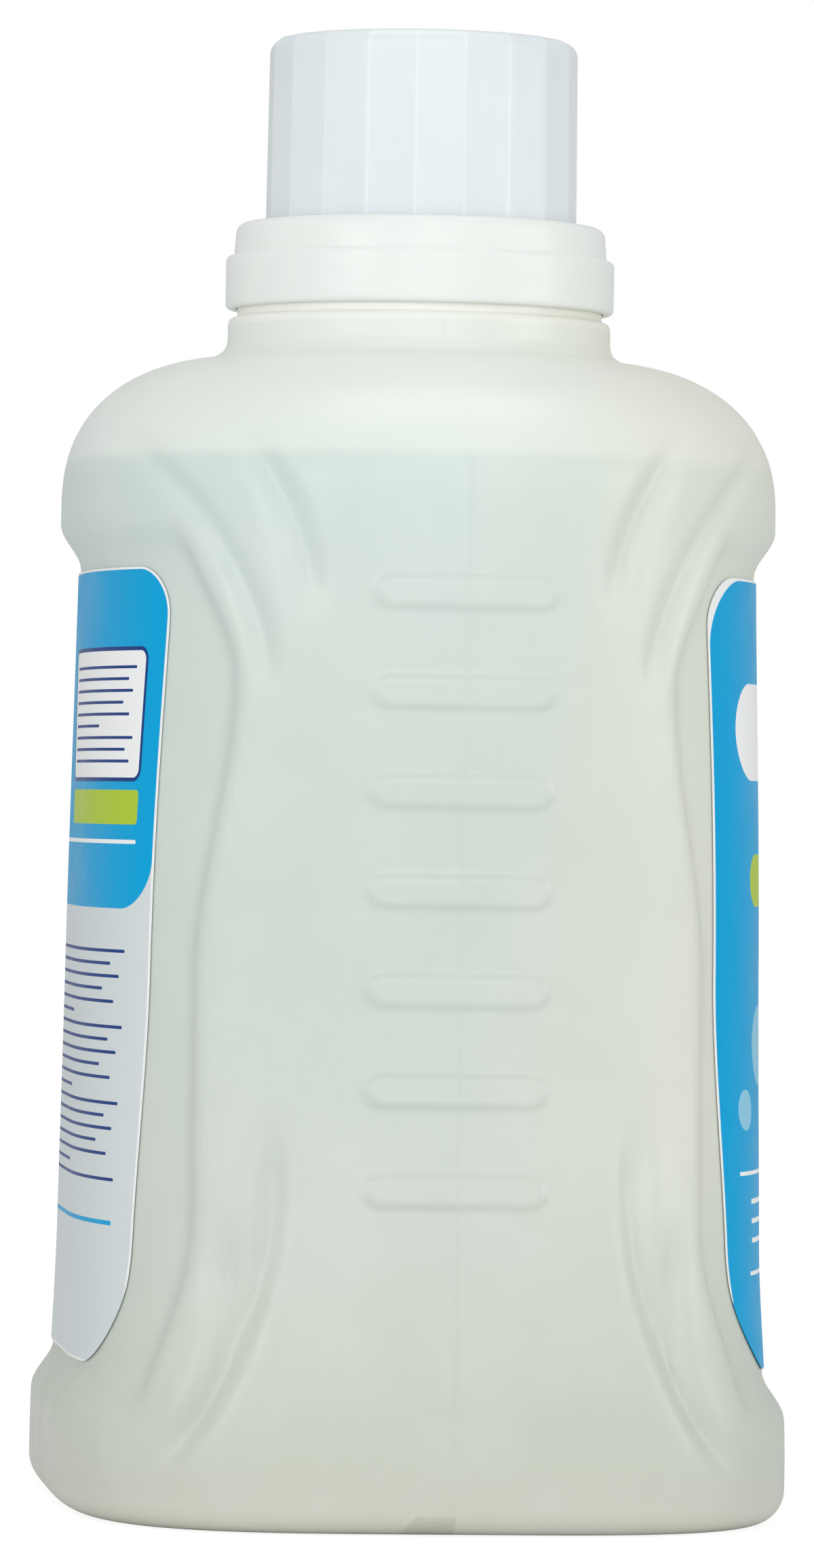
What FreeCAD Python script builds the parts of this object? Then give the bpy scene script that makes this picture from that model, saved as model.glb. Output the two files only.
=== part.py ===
"""Laundry detergent bottle: blow-moulded body, pour spout, measuring cap, two labels and the liquid.

Frame: millimetres, +Z up. The origin is on the ground under the middle of the base. The label
faces look along +X (front) and -X (back), the narrow grip panels along -Y and +Y.
"""
import FreeCAD, Part
import math
import os

# Body: depth runs along X through the labels, width along Y through the grip panels.
FOOT_DEPTH = 130.0
SHOULDER_DEPTH = 126.4
FOOT_WIDTH = 157.0
WAIST_WIDTH = 148.0
SHOULDER_WIDTH = 158.0
FOOT_LEVEL = 10.0
BELLY_LEVEL = 48.0
WAIST_LEVEL = 95.0
SHOULDER_LEVEL = 176.5
SHOULDER_RISE = 27.0
SHOULDER_FALL = 2.5
SHOULDER_SQUARENESS = 0.48
FOOT_ROUND = 5.5
WALL = 1.1

# Corner fullness of the cross-section: 2 is an ellipse, larger is squarer.
FOOT_FULLNESS = 3.6
BELLY_FULLNESS = 2.9
WAIST_FULLNESS = 2.8
SHOULDER_FULLNESS = 2.3

# Base: a standing ring around a pushed-up middle.
STANDING_RING = 4.0
PUSH_UP = 3.0
PUSH_UP_SLOPE = 5.0

# Label recesses and the hourglass panels between them.
RECESS_DEPTH = 3.9
RECESS_BOTTOM = 25.6
RECESS_TOP = 165.6
RECESS_STEP = 8.0
RECESS_EDGE = 4.0
PANEL_HALF_WAIST = 37.0
PANEL_WAIST_LEVEL = 145.0
PANEL_HALF_MIDDLE = 43.0
PANEL_HALF_FOOT = 53.0
PANEL_HALF_SHOULDER = 47.0

# Flutes at the corners of the grip panels.
UPPER_FLUTE_OFFSETS = (26.0, 33.0)
UPPER_FLUTE_TIPS = (154.0, 141.0)
UPPER_FLUTE_SWEEP = 0.0105
LOWER_FLUTE_OFFSETS = (31.5, 38.5)
LOWER_FLUTE_TIPS = (74.0, 56.0)
LOWER_FLUTE_SWEEP = 0.0072
FLUTE_WIDTHS = (4.6, 3.6)
FLUTE_DEPTHS = (2.0, 1.6)
FLUTE_FADE = 14.0
UPPER_FLUTE_END = 192.0
LOWER_FLUTE_END = 6.0

# Raised grip ribs on the panels.
RIB_COUNT = 7
RIB_PITCH = 17.0
RIB_LENGTH = 31.0
RIB_HEIGHT = 5.6
RIB_RELIEF = 0.9
RIB_ROOT = 0.5
RIB_MIDDLE_LEVEL = 109.5

# Neck and finish of the bottle.
NECK_STEP = 1.6
NECK_BASE_FILLET = 4.0
NECK_LENGTH = 5.5
NECK_SHOULDER_ROUND = 1.4
FINISH_DIAMETER = 65.4
FINISH_LENGTH = 14.8
FINISH_WALL = 1.5
SNAP_BEAD = 0.7
SNAP_BEAD_LEVEL = 3.6

# Pour spout fitting, snapped over the finish.
FIT_CLEARANCE = 0.3
COLLAR_GAP = 1.6
COLLAR_WALL = 1.8
COLLAR_STEP = 1.4
COLLAR_STEP_HEIGHT = 9.4
COLLAR_STEP_ROUND = 0.8
COLLAR_TOP_ROUND = 1.9
COLLAR_TOP_INSET = 0.3
DECK_THICKNESS = 1.9
WELL_GAP = 1.4
WELL_WALL = 2.2
WELL_MOUTH_EASE = 0.85
WELL_MOUTH_DEPTH = 2.6
WELL_DEPTH = 30.0
WELL_FLOOR = 1.6
SPOUT_DIAMETER = 30.0
SPOUT_WALL = 1.4
SPOUT_HEIGHT = 41.0
SPOUT_LIP_SLANT = 9.0
SPOUT_LIP_FLARE = 1.2
DRAIN_SLOT = 7.0

# Measuring cap.
CAP_CLEARANCE = 0.5
CAP_HEIGHT = 35.5
CAP_FLATS = 20
CAP_DRAFT = 0.3
CAP_WALL = 1.5
CAP_TOP_THICKNESS = 1.6
CAP_TOP_ROUND = 2.6
CAP_SKIRT_LENGTH = 19.0
CAP_EDGE_ROUND = 0.4

# Labels.
LABEL_THICKNESS = 0.12
LABEL_GLUE_LINE = 0.3
FRONT_LABEL_WIDTH = 112.0
BACK_LABEL_WIDTH = 102.0
LABEL_MARGIN = 0.8
LABEL_TOP_RADIUS = 9.0
LABEL_BOTTOM_RADIUS = 16.0

# Liquid.
FILL_LEVEL = 184.0
LIQUID_CLEARANCE = 0.4

# Sampling of the moulded surfaces.
POINTS_PER_QUARTER = 18
CORNER_ANGLE = 31.0
CORNER_SPREAD = 12.0
CORNER_DENSITY = 3.0
STEP_ROWS = 4
FLUTE_ROWS = 7
MIDDLE_ROWS = 6
SHOULDER_ROWS = 9
LABEL_COLUMNS = 25
LABEL_ROWS = 15

NECK_BASE_LEVEL = SHOULDER_LEVEL + SHOULDER_RISE
NECK_TOP_LEVEL = NECK_BASE_LEVEL + NECK_BASE_FILLET / 2 + NECK_LENGTH
FINISH_TOP_LEVEL = NECK_TOP_LEVEL + FINISH_LENGTH
COLLAR_BOTTOM_LEVEL = NECK_TOP_LEVEL + COLLAR_GAP
DECK_TOP_LEVEL = FINISH_TOP_LEVEL + FIT_CLEARANCE + DECK_THICKNESS
WELL_FLOOR_LEVEL = DECK_TOP_LEVEL - WELL_DEPTH
CAP_SEAT_LEVEL = DECK_TOP_LEVEL - WELL_MOUTH_DEPTH + FIT_CLEARANCE
CAP_TOP_LEVEL = CAP_SEAT_LEVEL + CAP_HEIGHT
NECK_DIAMETER = FINISH_DIAMETER + 2 * NECK_STEP
FINISH_INNER_RADIUS = FINISH_DIAMETER / 2 - FINISH_WALL
COLLAR_INNER_RADIUS = FINISH_DIAMETER / 2 + FIT_CLEARANCE
COLLAR_DIAMETER = 2 * (COLLAR_INNER_RADIUS + COLLAR_WALL)
COLLAR_UPPER_DIAMETER = COLLAR_DIAMETER - 2 * COLLAR_STEP
WELL_OUTER_DIAMETER = 2 * (FINISH_INNER_RADIUS - WELL_GAP)
WELL_DIAMETER = WELL_OUTER_DIAMETER - 2 * WELL_WALL
WELL_MOUTH_DIAMETER = WELL_DIAMETER + 2 * WELL_MOUTH_EASE
CAP_DIAMETER = WELL_MOUTH_DIAMETER - 2 * CAP_CLEARANCE
CAP_SKIRT_DIAMETER = WELL_DIAMETER - 2 * CAP_CLEARANCE
FLOOR_LEVEL = PUSH_UP + WALL


def smooth(value, low, high):
    """Ease from 0 at low to 1 at high."""
    share = min(1.0, max(0.0, (value - low) / (high - low)))
    return share * share * (3 - 2 * share)


def blend(value, stations):
    """Ease through (level, size) stations in rising order of level."""
    for (low, first), (high, second) in zip(stations, stations[1:]):
        if value <= high:
            return first + (second - first) * smooth(value, low, high)
    return stations[-1][1]


def panel_half(level):
    """Half the width, along X, of the grip panel at a height."""
    stations = [
        (FOOT_LEVEL, PANEL_HALF_FOOT),
        ((FOOT_LEVEL + WAIST_LEVEL) / 2, PANEL_HALF_MIDDLE),
        (WAIST_LEVEL, PANEL_HALF_MIDDLE),
        (PANEL_WAIST_LEVEL, PANEL_HALF_WAIST),
        (SHOULDER_LEVEL, PANEL_HALF_SHOULDER),
    ]
    return blend(level, stations)


def recess(x, level):
    """Depth of the label recess at a point of the wall."""
    rising = smooth(level, RECESS_BOTTOM - RECESS_STEP, RECESS_BOTTOM)
    falling = 1 - smooth(level, RECESS_TOP, RECESS_TOP + RECESS_STEP)
    edge = panel_half(level)
    side = smooth(abs(x), edge, edge + RECESS_EDGE)
    return RECESS_DEPTH * rising * falling * side


def flute(x, level, path, width, depth):
    """Depth of one flute: path gives its offset from the mould line and its strength at a height."""
    centre, strength = path
    across = (abs(x) - centre) / (width / 2)
    return depth * strength * math.exp(-across * across)


def flutes(x, level):
    """Depth of all flutes at a point of the grip panel."""
    total = 0.0
    for index, (width, depth) in enumerate(zip(FLUTE_WIDTHS, FLUTE_DEPTHS)):
        tip = UPPER_FLUTE_TIPS[index]
        centre = UPPER_FLUTE_OFFSETS[index] + UPPER_FLUTE_SWEEP * max(0.0, level - tip) ** 2
        strength = smooth(level, tip, tip + FLUTE_FADE)
        strength *= 1 - smooth(level, UPPER_FLUTE_END - FLUTE_FADE, UPPER_FLUTE_END)
        total += flute(x, level, (centre, strength), width, depth)
        tip = LOWER_FLUTE_TIPS[index]
        centre = LOWER_FLUTE_OFFSETS[index] + LOWER_FLUTE_SWEEP * max(0.0, tip - FLUTE_FADE - level) ** 2
        strength = 1 - smooth(level, tip - FLUTE_FADE, tip)
        strength *= smooth(level, LOWER_FLUTE_END, LOWER_FLUTE_END + FLUTE_FADE)
        total += flute(x, level, (centre, strength), width, depth)
    return total


def hull(level):
    """Half depth, half width and fullness of the body at a height, without relief."""
    neck = NECK_DIAMETER / 2
    low, high = FOOT_DEPTH / 2, SHOULDER_DEPTH / 2
    share = (level - FOOT_LEVEL) / (SHOULDER_LEVEL - FOOT_LEVEL)
    depth = low + (high - low) * min(1.0, max(0.0, share))
    widths = [(FOOT_LEVEL, FOOT_WIDTH / 2), (WAIST_LEVEL, WAIST_WIDTH / 2), (SHOULDER_LEVEL, SHOULDER_WIDTH / 2)]
    fullnesses = [
        (FOOT_LEVEL, FOOT_FULLNESS),
        (BELLY_LEVEL, BELLY_FULLNESS),
        (WAIST_LEVEL, WAIST_FULLNESS),
        (SHOULDER_LEVEL, SHOULDER_FULLNESS),
        (NECK_BASE_LEVEL, 2.0),
    ]
    width = blend(level, widths)
    rise = min(1.0, max(0.0, (level - SHOULDER_LEVEL) / SHOULDER_RISE))
    crown = (1 - rise ** SHOULDER_FALL) ** SHOULDER_SQUARENESS
    depth = neck + (depth - neck) * crown
    width = neck + (width - neck) * crown
    return depth, width, blend(level, fullnesses)


def polar(angle, depth, width, fullness):
    """Distance from the axis to a squared oval in the direction of an angle from -Y."""
    along = abs(math.sin(angle)) / depth
    across = abs(math.cos(angle)) / width
    return (along ** fullness + across ** fullness) ** (-1 / fullness)


def wall_radius(angle, level, inset):
    """Distance from the axis to the body wall, set in from the outside by an inset."""
    plain = polar(angle, *hull(level))
    x = plain * math.sin(angle)
    return plain - recess(x, level) - flutes(x, level) - inset


def quarter_angles():
    """Angles from 0 towards 90 degrees, denser where the flutes and panel edges are."""
    steps = 900
    totals = [0.0]
    for step in range(steps):
        degrees = 90 * (step + 0.5) / steps
        bump = math.exp(-(((degrees - CORNER_ANGLE) / CORNER_SPREAD) ** 2))
        totals.append(totals[-1] + 1 + CORNER_DENSITY * bump)
    angles = []
    step = 0
    for point in range(POINTS_PER_QUARTER):
        target = totals[-1] * point / POINTS_PER_QUARTER
        while totals[step + 1] < target:
            step += 1
        angles.append(math.radians(90 * step / steps))
    return angles


def ring_angles():
    """Angles right around, mirrored from quarter to quarter."""
    quarter = quarter_angles()
    mirrored = [math.pi - angle for angle in reversed(quarter[1:])]
    half = quarter + [math.pi / 2] + mirrored
    return half + [math.pi + angle for angle in half]


def push_up_rows(inset):
    """Rows from the pushed-up middle of the base down to the inner edge of the standing ring."""
    ring_edge = FOOT_ROUND + STANDING_RING
    rows = [(PUSH_UP + inset, ring_edge + PUSH_UP_SLOPE + WALL), (PUSH_UP + inset, ring_edge + PUSH_UP_SLOPE)]
    for share in (0.15, 0.5, 0.85):
        rows.append((PUSH_UP * (1 - smooth(share, 0, 1)) + inset, ring_edge + PUSH_UP_SLOPE * (1 - share)))
    rows.append((inset, ring_edge))
    return rows


def foot_rows(inset):
    """Rows from the outer edge of the standing ring up the round of the foot."""
    rows = [(inset, FOOT_ROUND)]
    radius = FOOT_ROUND - inset
    for step in range(1, 7):
        turn = math.radians(15 * step)
        rows.append((FOOT_ROUND - radius * math.cos(turn), FOOT_ROUND - radius * math.sin(turn)))
    return rows


def base_band(rows):
    """Rows of poles at the base from (height, distance in from the wall) pairs."""
    return [ring(level, lambda angle: wall_radius(angle, FOOT_ROUND, reach)) for level, reach in rows]


def spaced(low, high, count):
    """Heights from low up to, and without, high."""
    return [low + (high - low) * step / count for step in range(count)]


def wall_levels():
    """Heights of the rows of the wall, closer together at the steps and towards the neck."""
    low_end, high_end = max(LOWER_FLUTE_TIPS), min(UPPER_FLUTE_TIPS)
    levels = spaced(FOOT_ROUND + 1, RECESS_BOTTOM - RECESS_STEP, 2)
    levels += spaced(RECESS_BOTTOM - RECESS_STEP, RECESS_BOTTOM, STEP_ROWS)
    levels += spaced(RECESS_BOTTOM, low_end, FLUTE_ROWS)
    levels += spaced(low_end, high_end, MIDDLE_ROWS)
    levels += spaced(high_end, RECESS_TOP, STEP_ROWS)
    levels += spaced(RECESS_TOP, RECESS_TOP + RECESS_STEP, STEP_ROWS)
    rise = NECK_BASE_LEVEL - RECESS_TOP - RECESS_STEP
    for step in range(SHOULDER_ROWS):
        levels.append(NECK_BASE_LEVEL - rise * (1 - math.sin(math.pi / 2 * step / SHOULDER_ROWS)))
    return levels


def ring(level, distance):
    """One row of poles: distance gives the radius for an angle."""
    row = []
    for angle in ring_angles():
        radius = distance(angle)
        row.append(FreeCAD.Vector(radius * math.sin(angle), -radius * math.cos(angle), level))
    return row


def inner_base(inset):
    """Rows of the whole base as seen from the inside."""
    middle = (inset, FOOT_ROUND + STANDING_RING / 2)
    return base_band(push_up_rows(inset) + [middle])


def body_rows(inset, top=None):
    """Rows of the body from the standing ring to the neck, or to a flat top at a given height."""
    rows = base_band(foot_rows(inset))
    levels = wall_levels()
    if top is not None:
        levels = [level for level in levels if level < top - 1.5] + [top]
    for level in levels:
        lean = crown_lean(level)
        upright = math.sqrt(1 - lean * lean)
        drop = inset * lean if top is None else 0.0
        side = inset * upright if top is None else inset / upright
        rows.append(ring(level - drop, lambda angle: wall_radius(angle, level, side)))
    return rows


def crown_lean(level):
    """Vertical share of the wall's outward normal at a height of the shoulder."""
    step = 0.05
    middle = min(level, NECK_BASE_LEVEL - 2 * step)
    fall = (hull(middle - step)[0] - hull(middle + step)[0]) / (2 * step)
    if middle <= SHOULDER_LEVEL:
        return 0.0
    return fall / math.hypot(1.0, fall)


def neck_rows(profile):
    """Round rows from (radius, level) pairs."""
    return [ring(level, lambda angle: radius) for radius, level in profile]


def surface(rows):
    """A closed band of smooth surface whose poles are the rows."""
    around = len(rows[0])
    bottom_to_top = len(rows)
    skin = Part.BSplineSurface()
    columns = [[row[index] for row in rows] for index in range(around)]
    knots_around = [float(value) for value in range(around + 1)]
    knots_up = [float(value) for value in range(bottom_to_top - 2)]
    ends = [4] + [1] * (bottom_to_top - 4) + [4]
    skin.buildFromPolesMultsKnots(columns, [1] * (around + 1), ends, knots_around, knots_up, True, False, 3, 3)
    return skin.toShape()


def rim(face, level):
    """The closed edge of a band at a height."""
    flat = [edge for edge in face.Edges if edge.BoundBox.ZLength < 0.001]
    return Part.Wire(min(flat, key=lambda edge: abs(edge.BoundBox.ZMin - level)))


def closed_solid(faces):
    """One solid from faces that meet edge to edge."""
    shell = Part.makeShell(faces)
    shell.sewShape()
    solid = Part.Solid(shell.Shells[0] if shell.Shells else shell)
    if solid.Volume < 0:
        solid.reverse()
    return solid


def flat_between(outer_edge, inner_edge):
    """A flat ring between two closed edges at one height."""
    return Part.Face(outer_edge).cut(Part.Face(inner_edge)).Faces[0]


def outer_neck_profile():
    """Outside of the neck and finish, from the shoulder fillet up."""
    neck = NECK_DIAMETER / 2
    finish = FINISH_DIAMETER / 2
    round_level = NECK_TOP_LEVEL - NECK_SHOULDER_ROUND
    bead_level = NECK_TOP_LEVEL + SNAP_BEAD_LEVEL
    profile = [(neck, NECK_BASE_LEVEL + NECK_BASE_FILLET / 2), (neck, NECK_BASE_LEVEL + NECK_BASE_FILLET)]
    profile += [(neck, round_level - 1), (neck, round_level), (neck - 0.1, round_level + 0.8)]
    profile += [(neck - 0.6, NECK_TOP_LEVEL - 0.1), (finish + 0.2, NECK_TOP_LEVEL), (finish, NECK_TOP_LEVEL + 0.3)]
    profile += [(finish, bead_level - 1.6), (finish + SNAP_BEAD, bead_level - 0.6)]
    profile += [(finish + SNAP_BEAD, bead_level + 0.6), (finish, bead_level + 1.8)]
    profile += [(finish, bead_level + 4), (finish, FINISH_TOP_LEVEL - 1.2), (finish, FINISH_TOP_LEVEL - 0.5)]
    profile += [(finish - 0.1, FINISH_TOP_LEVEL - 0.1), (finish - 0.5, FINISH_TOP_LEVEL)]
    return profile


def inner_neck_profile():
    """Inside of the neck, from the shoulder up to the mouth."""
    bore = FINISH_INNER_RADIUS
    profile = [(bore, NECK_BASE_LEVEL + NECK_BASE_FILLET), (bore, NECK_TOP_LEVEL), (bore, FINISH_TOP_LEVEL - 6)]
    profile += [(bore, FINISH_TOP_LEVEL - 1.0), (bore, FINISH_TOP_LEVEL)]
    return profile


def rib(level, side):
    """One raised rib on a grip panel: a bar with round ends that follows the panel's bulge."""
    half = RIB_HEIGHT / 2
    reach = RIB_LENGTH / 2 - half
    panel = wall_radius(0.0, level, 0.0)
    drop = panel - wall_radius(math.atan2(RIB_LENGTH / 2, panel), level, 0.0) * math.cos(
        math.atan2(RIB_LENGTH / 2, panel)
    )
    bulge = (RIB_LENGTH / 2) ** 2 / (2 * drop)
    corners = [(-reach, -half), (reach, -half), (reach, half), (-reach, half)]
    points = [FreeCAD.Vector(x, 0, level + z) for x, z in corners]
    edges = [
        Part.LineSegment(points[0], points[1]).toShape(),
        Part.Arc(points[1], FreeCAD.Vector(reach + half, 0, level), points[2]).toShape(),
        Part.LineSegment(points[2], points[3]).toShape(),
        Part.Arc(points[3], FreeCAD.Vector(-reach - half, 0, level), points[0]).toShape(),
    ]
    bar = Part.Face(Part.Wire(edges)).extrude(FreeCAD.Vector(0, 2 * panel, 0))
    centre = FreeCAD.Vector(0, panel - bulge, level - RIB_HEIGHT)
    band = Part.makeCylinder(bulge + RIB_RELIEF, 2 * RIB_HEIGHT, centre)
    band = band.cut(Part.makeCylinder(bulge - RIB_ROOT, 2 * RIB_HEIGHT, centre))
    bar = bar.common(band)
    if side < 0:
        bar = bar.mirror(FreeCAD.Vector(0, 0, 0), FreeCAD.Vector(0, 1, 0))
    return bar


def make_bottle():
    """The blow-moulded shell with its base, relief, neck and finish."""
    outside = surface(body_rows(0.0) + neck_rows(outer_neck_profile()))
    under = surface(base_band(push_up_rows(0.0)))
    inside = surface(inner_base(WALL) + body_rows(WALL) + neck_rows(inner_neck_profile()))
    faces = [
        outside,
        under,
        inside,
        flat_between(rim(outside, 0.0), rim(under, 0.0)),
        flat_between(rim(outside, FINISH_TOP_LEVEL), rim(inside, FINISH_TOP_LEVEL)),
        Part.Face(rim(under, PUSH_UP)),
        Part.Face(rim(inside, FLOOR_LEVEL)),
    ]
    shell = closed_solid(faces)
    first = RIB_MIDDLE_LEVEL - RIB_PITCH * (RIB_COUNT - 1) / 2
    ribs = [rib(first + RIB_PITCH * index, side) for index in range(RIB_COUNT) for side in (-1, 1)]
    return shell.multiFuse(ribs)


def turned(outline):
    """A solid of revolution from (radius, level) corners in order."""
    points = [FreeCAD.Vector(radius, 0, level) for radius, level in outline]
    face = Part.Face(Part.makePolygon(points + [points[0]]))
    return face.revolve(FreeCAD.Vector(0, 0, 0), FreeCAD.Vector(0, 0, 1), 360)


def disc(radius, low, high):
    """An upright cylinder between two heights."""
    return Part.makeCylinder(radius, high - low, FreeCAD.Vector(0, 0, low))


def rounded(solid, size, level, radius):
    """Round the circular edges of a radius that lie at a height."""
    chosen = []
    for edge in solid.Edges:
        box = edge.BoundBox
        if abs(box.ZMin - level) < 0.01 and abs(box.ZMax - level) < 0.01 and abs(box.XMax - radius) < 0.01:
            chosen.append(edge)
    return solid.makeFillet(size, chosen)


def make_collar():
    """Two-ring collar with its deck, snap groove and bore, open in the middle."""
    outer = COLLAR_DIAMETER / 2
    upper = COLLAR_UPPER_DIAMETER / 2
    inner = COLLAR_INNER_RADIUS
    step = COLLAR_BOTTOM_LEVEL + COLLAR_STEP_HEIGHT
    deck_under = DECK_TOP_LEVEL - DECK_THICKNESS
    bead = NECK_TOP_LEVEL + SNAP_BEAD_LEVEL
    outline = [(inner, COLLAR_BOTTOM_LEVEL), (outer, COLLAR_BOTTOM_LEVEL), (outer, step)]
    outline += [(upper, step), (upper - COLLAR_TOP_INSET, DECK_TOP_LEVEL)]
    outline += [(WELL_DIAMETER / 2, DECK_TOP_LEVEL), (WELL_DIAMETER / 2, deck_under)]
    outline += [(inner, deck_under)]
    outline += [(inner, bead + 2.4), (inner + SNAP_BEAD, bead + 1.2), (inner + SNAP_BEAD, bead - 1.2)]
    outline += [(inner, bead - 2.0)]
    collar = turned(outline)
    collar = rounded(collar, COLLAR_STEP_ROUND, step, outer)
    collar = rounded(collar, COLLAR_STEP_ROUND, COLLAR_BOTTOM_LEVEL, outer)
    return rounded(collar, COLLAR_TOP_ROUND, DECK_TOP_LEVEL, upper - COLLAR_TOP_INSET)


def make_well():
    """The cup that hangs in the neck, with its floor and the drain slot in it."""
    deck_under = DECK_TOP_LEVEL - DECK_THICKNESS
    well = disc(WELL_OUTER_DIAMETER / 2, WELL_FLOOR_LEVEL - WELL_FLOOR, deck_under + 0.5)
    well = well.cut(disc(WELL_DIAMETER / 2, WELL_FLOOR_LEVEL, DECK_TOP_LEVEL))
    slot = Part.makeBox(WELL_DIAMETER / 2, DRAIN_SLOT, 3 * WELL_FLOOR)
    slot.translate(FreeCAD.Vector(0, -DRAIN_SLOT / 2, WELL_FLOOR_LEVEL - 2 * WELL_FLOOR))
    slot = slot.cut(disc(SPOUT_DIAMETER / 2 + 1, WELL_FLOOR_LEVEL - 3 * WELL_FLOOR, WELL_FLOOR_LEVEL + 3 * WELL_FLOOR))
    return well.cut(slot.common(disc(WELL_DIAMETER / 2 - 1, WELL_FLOOR_LEVEL - WELL_DEPTH, DECK_TOP_LEVEL)))


def make_lip_tube():
    """The pouring tube, flared at its mouth and cut on a slant."""
    radius = SPOUT_DIAMETER / 2
    bore = radius - SPOUT_WALL
    low = WELL_FLOOR_LEVEL - WELL_FLOOR
    high = WELL_FLOOR_LEVEL + SPOUT_HEIGHT
    outline = [(bore, low), (radius, low), (radius, high - SPOUT_LIP_SLANT)]
    outline += [(radius + SPOUT_LIP_FLARE, high), (bore + SPOUT_LIP_FLARE, high), (bore, high - SPOUT_LIP_SLANT)]
    tube = turned(outline)
    reach = radius + 2 * SPOUT_LIP_FLARE
    corners = [(-reach, high - SPOUT_LIP_SLANT), (reach, high), (reach, high + SPOUT_LIP_SLANT)]
    corners.append((-reach, high + SPOUT_LIP_SLANT))
    points = [FreeCAD.Vector(x, -reach, z) for x, z in corners]
    wedge = Part.Face(Part.makePolygon(points + [points[0]])).extrude(FreeCAD.Vector(0, 2 * reach, 0))
    return tube.cut(wedge)


def make_pour_spout():
    """Collar, well and pouring tube, moulded as one piece."""
    fitting = make_collar().fuse(make_well())
    mouth = disc(WELL_MOUTH_DIAMETER / 2, DECK_TOP_LEVEL - WELL_MOUTH_DEPTH, DECK_TOP_LEVEL + 1)
    fitting = fitting.cut(mouth)
    drain = disc(SPOUT_DIAMETER / 2 - SPOUT_WALL, WELL_FLOOR_LEVEL - 2 * WELL_FLOOR, WELL_FLOOR_LEVEL + 1)
    return fitting.cut(drain).fuse(make_lip_tube())


def flat_sided(radius, draft, low, high):
    """A slightly tapering prism with one flat for each side of the cap."""
    rings = []
    for level, reach in ((low, radius), (high, radius - draft)):
        corners = []
        for index in range(CAP_FLATS + 1):
            turn = 2 * math.pi * (index + 0.5) / CAP_FLATS
            corners.append(FreeCAD.Vector(reach * math.cos(turn), reach * math.sin(turn), level))
        corners[-1] = corners[0]
        rings.append(Part.makePolygon(corners))
    return Part.makeLoft(rings, True, True)


def make_cap():
    """Inverted measuring cup: flat-sided wall above the collar, round skirt below it."""
    radius = CAP_DIAMETER / 2
    skirt = CAP_SKIRT_DIAMETER / 2
    body = flat_sided(radius, CAP_DRAFT, CAP_SEAT_LEVEL, CAP_TOP_LEVEL)
    dome = disc(radius, CAP_SEAT_LEVEL, CAP_TOP_LEVEL)
    dome = rounded(dome, CAP_TOP_ROUND, CAP_TOP_LEVEL, radius)
    body = body.common(dome)
    low = CAP_SEAT_LEVEL - CAP_SKIRT_LENGTH
    body = body.fuse(rounded(disc(skirt, low, CAP_SEAT_LEVEL + 1), CAP_EDGE_ROUND, low, skirt))
    bore = skirt - CAP_WALL
    hollow = disc(bore, low - 1, CAP_TOP_LEVEL - CAP_TOP_THICKNESS)
    hollow = rounded(hollow, CAP_TOP_ROUND - CAP_WALL / 2, CAP_TOP_LEVEL - CAP_TOP_THICKNESS, bore)
    return body.cut(hollow)


def label_outline(width, low, high):
    """Label outline in the Y-Z plane, with tighter corners at the top than at the bottom."""
    half = width / 2
    top, bottom = LABEL_TOP_RADIUS, LABEL_BOTTOM_RADIUS
    corners = [(-1, low, bottom), (1, low, bottom), (1, high, top), (-1, high, top)]
    starts = []
    edges = []
    for index, (side, level, radius) in enumerate(corners):
        up = 1 if level == low else -1
        centre_y = side * (half - radius)
        centre_z = level + up * radius
        diagonal = radius * math.sqrt(0.5)
        first = FreeCAD.Vector(0, side * half, centre_z)
        second = FreeCAD.Vector(0, centre_y, level)
        if index % 2:
            first, second = second, first
        middle = FreeCAD.Vector(0, centre_y + side * diagonal, centre_z - up * diagonal)
        starts.append((first, second))
        edges.append(Part.Arc(first, middle, second).toShape())
    for index, (_, end) in enumerate(starts):
        following = starts[(index + 1) % len(starts)][0]
        edges.append(Part.LineSegment(end, following).toShape())
    return Part.Wire(Part.__sortEdges__(edges))


def recess_skin(side, lift, width, low, high):
    """Poles of the recess floor, lifted off it, wider and taller than the label."""
    across, up = LABEL_COLUMNS, LABEL_ROWS
    poles = []
    for row in range(up):
        level = low + (high - low) * row / (up - 1)
        line = []
        for column in range(across):
            y = width * (column / (across - 1) - 0.5)
            angle = math.pi / 2
            for _ in range(12):
                angle = math.acos(max(-1.0, min(1.0, -y / wall_radius(angle, level, 0.0))))
            reach = wall_radius(angle, level, -lift) * math.sin(angle)
            line.append(FreeCAD.Vector(side * reach, y, level))
        poles.append(line)
    skin = Part.BSplineSurface()
    skin.interpolate(poles)
    return skin.toShape()


def make_label(side, width):
    """A label: a thin curved sheet against the floor of a recess."""
    low = RECESS_BOTTOM + LABEL_MARGIN
    high = RECESS_TOP - LABEL_MARGIN
    sheet = recess_skin(side, LABEL_GLUE_LINE, width + 1, low - 0.5, high + 0.5)
    thick = sheet.extrude(FreeCAD.Vector(side * LABEL_THICKNESS, 0, 0))
    outline = Part.Face(label_outline(width, low, high))
    cutter = outline.extrude(FreeCAD.Vector(side * FOOT_DEPTH, 0, 0))
    return thick.common(cutter)


def make_detergent():
    """The liquid, up to its level, just clear of the inside of the bottle."""
    inset = WALL + LIQUID_CLEARANCE
    skin = surface(inner_base(inset) + body_rows(inset, FILL_LEVEL))
    floor = FLOOR_LEVEL + LIQUID_CLEARANCE
    return closed_solid([skin, Part.Face(rim(skin, floor)), Part.Face(rim(skin, FILL_LEVEL))])


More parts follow.
